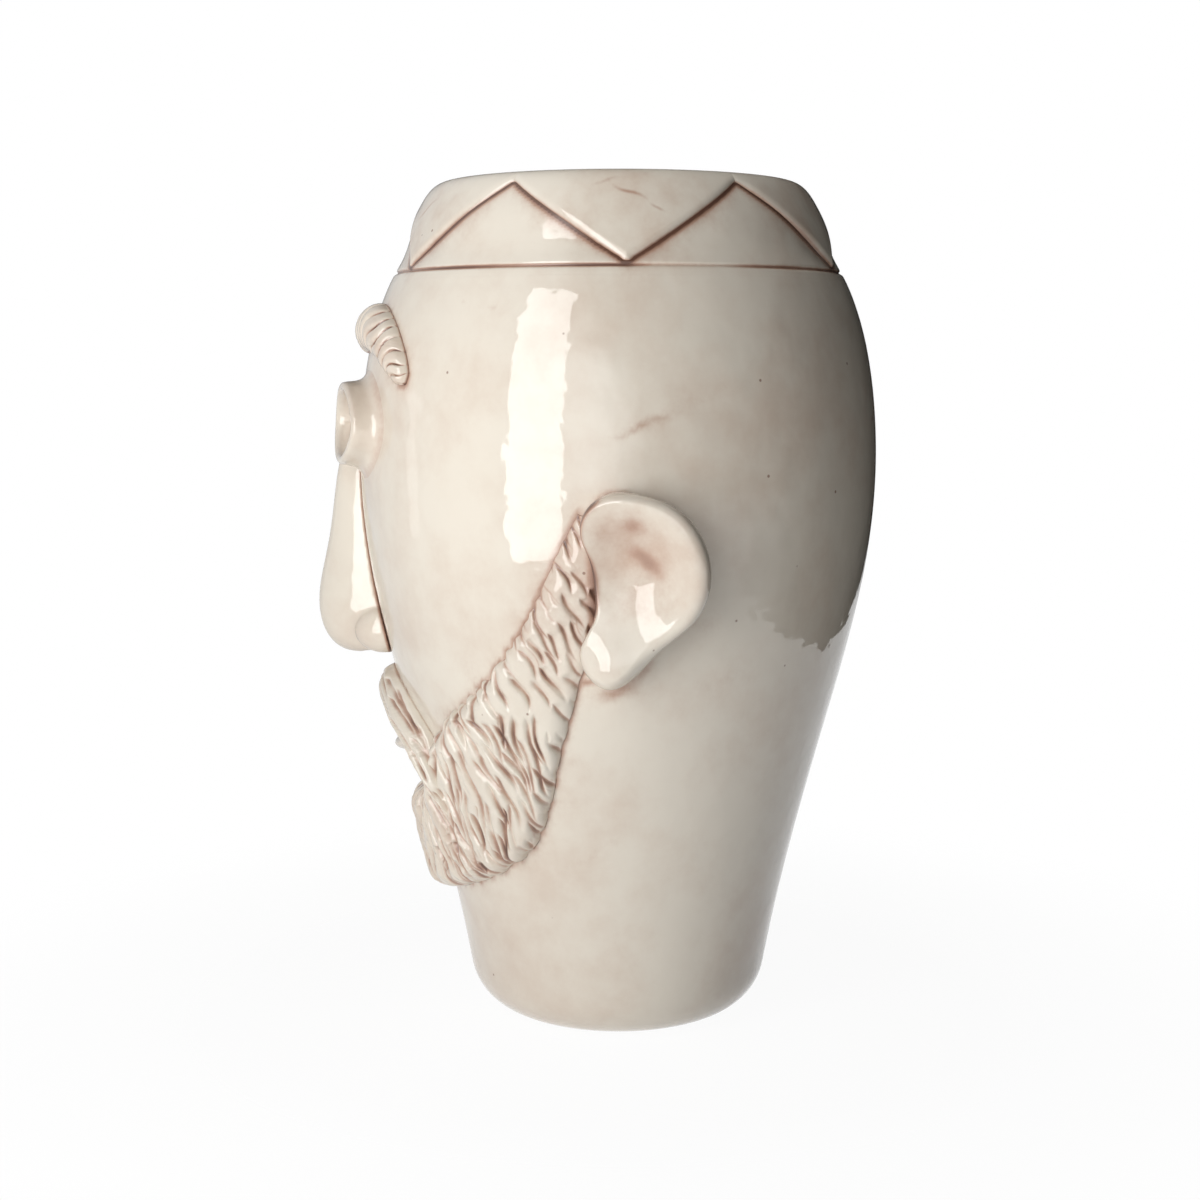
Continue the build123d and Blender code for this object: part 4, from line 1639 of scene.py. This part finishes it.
@dataclass
class Softened:
    """A small piece pressed by hand: its solid with every edge worn soft."""

    node: str
    wall: Wall
    material: bpy.types.Material
    cell: float = 0.9
    strokes: int = 10
    softness: float = 0.5
    seat: float = 1.6
    joint_wash: float = 0.75
    joint_span: tuple = (0.4, 2.6)
    rims: np.ndarray = field(default_factory=lambda: np.zeros((0, 3)))

    def build(self) -> None:
        """Copies the solid and softens it."""
        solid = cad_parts[self.node]
        obj = bpy.data.objects.new(f"{self.node}_glazed", solid.data.copy())
        obj.data.materials.clear()
        bpy.context.scene.collection.objects.link(obj)
        mend(obj)
        remesh = obj.modifiers.new("cells", "REMESH")
        remesh.mode = "VOXEL"
        remesh.voxel_size = self.cell * MM
        soften = obj.modifiers.new("soften", "SMOOTH")
        soften.factor = self.softness
        soften.iterations = self.strokes
        settle(obj)
        obj.data.shade_smooth()
        places = places_of(obj.data)
        lift = round_axis(places)[1] - self.wall.radius(places[:, 2])
        self.rims = places[(lift > 0.0) & (lift < self.seat)][::2]
        set_wash(obj.data, self.joint_wash * (1 - eased(lift, *self.joint_span)))
        hand_in(obj, self.material, Slot.WALL, self.node)


# Studio


@dataclass(frozen=True)
class SoftBox:
    """A lamp that faces the vase, by its place round it and its width and height."""

    name: str
    angle: float
    distance: float
    height: float
    size: tuple
    power: float


@dataclass
class Studio:
    """A pale floor, soft boxes, a dark card and the camera."""

    lens: float = 59.85
    distance: float = 963.8
    camera_height: float = 317.0
    camera_angle: float = 94.0
    pitch: float = 0.1212
    yaw: float = -0.0090
    light_angle: float = 69.0
    light: float = 2.25
    rear_angle: float = 274.0
    rear_light: float = 4.8
    mirrored_front: float = 0.85
    backdrop: float = 0.6
    light_lobe: tuple = (0.78, 1.0)
    rear_lobe: tuple = (0.88, 1.0)
    front_lobe: tuple = (0.05, 0.55)
    backdrop_lobe: tuple = (0.988, 0.999)
    floor_half: float = 3000.0
    floor_colour: tuple = (0.90, 0.90, 0.89)
    floor_glow: float = 1.02
    floor_share: float = 0.93
    floor_fade: tuple = (0.14, 0.42)
    mirrored_fade: tuple = (0.80, 2.60)
    table_glow: float = 0.50
    table_ramp: tuple = (0.00, 0.13)
    boxes: tuple = (SoftBox("key_box", 62.0, 522.0, 407.0, (200.0, 655.0), 1.6),
                    SoftBox("front_strip", -1.8, 1000.0, 232.0, (120.0, 370.0), 0.08))
    overhead_height: float = 750.0
    overhead_size: float = 80.0
    overhead_spread: float = 40.0
    overhead_power: float = 0.07
    card_ends: tuple = (-2600.0, 420.0)
    card_side: float = 500.0
    card_rise: tuple = (1.0, 1500.0)
    card_colour: tuple = (0.03, 0.028, 0.026)
    card_fade: float = 50.0

    @staticmethod
    def direction(angle: float) -> Vector:
        """The level direction straight out of the vase at an angle."""
        turn = math.radians(angle)
        return Vector((math.sin(turn), -math.cos(turn), 0.0))

    def build(self) -> None:
        """Sets up the whole studio."""
        bpy.context.scene.view_settings.view_transform = "Standard"
        self.camera()
        self.floor()
        self.world()
        for box in self.boxes:
            self.hang(box)
        self.overhead()
        self.card()

    def camera(self) -> None:
        """Places the camera where the photograph was taken from."""
        data = bpy.data.cameras.new("camera")
        data.lens = self.lens
        data.sensor_width = 36.0
        data.clip_start = 0.01
        obj = bpy.data.objects.new("camera", data)
        bpy.context.scene.collection.objects.link(obj)
        out = self.direction(self.camera_angle)
        beside = Vector((-out.y, out.x, 0.0))
        level = -out * math.cos(self.yaw) + beside * math.sin(self.yaw)
        ahead = level * math.cos(self.pitch) - Vector((0, 0, 1)) * math.sin(self.pitch)
        right = beside * math.cos(self.yaw) + out * math.sin(self.yaw)
        up = right.cross(ahead)
        turn = Matrix((right, up, -ahead)).transposed().to_4x4()
        place = out * self.distance * MM + Vector((0, 0, self.camera_height * MM))
        obj.matrix_world = Matrix.Translation(place) @ turn
        bpy.context.scene.camera = obj

    def floor(self) -> None:
        """Lays a pale floor that runs out into the white ground but keeps the shadow."""
        half = self.floor_half
        corners = ((-half, -half, 0), (half, -half, 0), (half, half, 0), (-half, half, 0))
        obj, tree = self.panel("floor", corners, "pale_floor")
        place = tree.node("ShaderNodeTexCoord", output="Object")
        reach = tree.node("ShaderNodeVectorMath", {"operation": "LENGTH"}, {0: place}, output="Value")
        seen = tree.node("ShaderNodeLightPath", output="Is Camera Ray")
        glossy = tree.twin(seen, "Is Glossy Ray")
        shown = seen.call("MAXIMUM", glossy)
        pale = tree.node("ShaderNodeBsdfDiffuse", {}, {"Color": (*self.floor_colour, 1)})
        glow = tree.node("ShaderNodeEmission", {}, {"Color": (1, 1, 1, 1), "Strength": self.floor_glow})
        lit = tree.smooth(tree.toward(place, self.direction(self.light_angle)), *self.table_ramp)
        share = shown * self.floor_share + (1 - shown) * lit * self.table_glow
        bright = tree.node("ShaderNodeMixShader", {}, {0: share, 1: pale, 2: glow})
        clear = tree.node("ShaderNodeBsdfTransparent")
        fade = seen * tree.smooth(reach, *self.floor_fade) + glossy * tree.smooth(reach, *self.mirrored_fade)
        shader = tree.node("ShaderNodeMixShader", {}, {0: fade, 1: bright, 2: clear})
        tree.node("ShaderNodeOutputMaterial", {}, {"Surface": shader})

    def world(self) -> None:
        """A white ground to look at, and a soft sky to light by, brighter towards the front."""
        world = bpy.data.worlds.new("studio")
        bpy.context.scene.world = world
        tree = blank_tree(world)
        seen = tree.node("ShaderNodeLightPath", output="Is Camera Ray")
        glossy = tree.twin(seen, "Is Glossy Ray")
        way = tree.node("ShaderNodeTexCoord", output="Generated")
        lobes = ((self.light_angle, self.light_lobe), (0.0, self.front_lobe),
                 (self.camera_angle + 180.0, self.backdrop_lobe), (self.rear_angle, self.rear_lobe))
        toward, ahead, away, rear = (tree.smooth(tree.toward(way, self.direction(angle)), *lobe)
                                     for angle, lobe in lobes)
        sky = self.light * toward
        sky = sky + self.rear_light * rear * (1 - glossy)
        sky = sky + (self.mirrored_front - sky) * ahead * glossy
        sky = sky + (self.backdrop - sky) * away * glossy
        strength = seen + sky * (1 - seen)
        ground = tree.node("ShaderNodeBackground", {}, {"Color": (1, 1, 1, 1), "Strength": strength})
        tree.node("ShaderNodeOutputWorld", {}, {"Surface": ground})

    @staticmethod
    def panel(name: str, corners: tuple, cover: str) -> tuple:
        """Makes a flat panel.

        Args:
            name: The panel's name.
            corners: Its four corners.
            cover: Its material's name.

        Returns:
            The panel, and its material's tree to be filled.
        """
        obj = new_object(name, np.array(corners), [[0, 1, 2, 3]])
        material = bpy.data.materials.new(cover)
        obj.data.materials.append(material)
        return obj, blank_tree(material)

    @staticmethod
    def lamp(name: str, shape: str, power: float) -> bpy.types.Object:
        """Adds an area lamp.

        Args:
            name: The lamp's name.
            shape: The shape of its face.
            power: Its power in watts.

        Returns:
            The lamp.
        """
        data = bpy.data.lights.new(name, "AREA")
        data.shape = shape
        data.energy = power
        obj = bpy.data.objects.new(name, data)
        bpy.context.scene.collection.objects.link(obj)
        return obj

    def hang(self, box: SoftBox) -> None:
        """Hangs a soft box.

        Args:
            box: The soft box.
        """
        obj = self.lamp(box.name, "RECTANGLE", box.power)
        obj.data.size, obj.data.size_y = (length * MM for length in box.size)
        obj.location = self.direction(box.angle) * box.distance * MM + Vector((0, 0, box.height * MM))
        obj.rotation_euler = (-self.direction(box.angle)).to_track_quat("-Z", "Y").to_euler()

    def overhead(self) -> None:
        """Hangs a small lamp that looks straight down into the mouth."""
        obj = self.lamp("overhead", "DISK", self.overhead_power)
        obj.data.size = self.overhead_size * MM
        obj.data.spread = math.radians(self.overhead_spread)
        obj.location = (0.0, 0.0, self.overhead_height * MM)
        obj.visible_glossy = False

    def card(self) -> None:
        """Stands a dark card behind the ear's side, which the glaze mirrors."""
        (near, far), (low, top), side = self.card_ends, self.card_rise, self.card_side
        corners = ((near, side, low), (far, side, low), (far, side, top), (near, side, top))
        obj, tree = self.panel("dark_card", corners, "dark_cloth")
        cloth = tree.node("ShaderNodeBsdfDiffuse", {}, {"Color": (*self.card_colour, 1)})
        place = tree.node("ShaderNodeTexCoord", output="Object")
        along = tree.node("ShaderNodeSeparateXYZ", {}, {0: place}, output="X")
        clear = tree.node("ShaderNodeBsdfTransparent")
        fade = tree.smooth(along, self.card_fade * MM, far * MM)
        shader = tree.node("ShaderNodeMixShader", {}, {0: fade, 1: cloth, 2: clear})
        tree.node("ShaderNodeOutputMaterial", {}, {"Surface": shader})
        obj.visible_camera = obj.visible_diffuse = obj.visible_shadow = False


@dataclass(frozen=True)
class Pooling:
    """How dark the wall is made round each kind of laid piece: pooled oxide, and round the crown and under the ears
    painted shade as well.
    """

    beard: float = 0.6
    moustache: float = 0.85
    # Round the crown the line is partly painted shade of the recess under the tongues.
    crown: float = 1.4
    brow: float = 0.6
    socket: float = 0.12
    # Below the ears the line is darker than above them: oxide with painted shade under the ears.
    ear_low: float = 0.9
    ear_high: float = 0.35
    pressed: float = 0.6


def main() -> None:
    """Builds every piece in order, then the studio."""
    logging.basicConfig(level=logging.INFO, format="%(name)s %(message)s")
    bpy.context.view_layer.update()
    wall = Wall.from_node(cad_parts["vase_body"])
    glaze = Glaze("cream_glaze").material()
    relief_glaze = Glaze("cream_glaze_carved", blush_share=0.80).material()
    flushed_glaze = Glaze("cream_glaze_flushed", blush_share=1.00).material()
    vessel, crown = Vessel(wall, glaze), Crown(wall, flushed_glaze)
    beard, moustache, brows = (kind(wall, relief_glaze) for kind in (Beard, Moustache, Brows))
    ears, sockets = Ears(wall, flushed_glaze), Sockets(wall, glaze)
    names = ("nose", "upper_lip", "lower_lip", "eyeball_left", "eyeball_right")
    pressed = [Softened(name, wall, glaze) for name in names]
    for piece in (vessel, crown, beard, moustache, brows, ears, sockets, *pressed):
        piece.build()
    pool = Pooling()
    laid = [(pad.rims, pool.beard) for pad in beard.pads] + [(pad.rims, pool.moustache) for pad in moustache.pads]
    laid += [(rims, pool.crown) for rims in crown.rims]
    laid += [(brows.rims, pool.brow), (sockets.rims, pool.socket)]
    # Under the ears the line is darker: oxide with painted shade.
    laid += [(rims, pool.ear_low) for rims in ears.low_rims] + [(rims, pool.ear_high) for rims in ears.high_rims]
    laid += [(piece.rims, pool.pressed) for piece in pressed]
    edges = np.concatenate([rims for rims, _ in laid])
    strengths = np.concatenate([np.full(len(rims), strength) for rims, strength in laid])
    vessel.dress(edges, strengths)
    Studio().build()


if __name__ == "__main__":
    main()
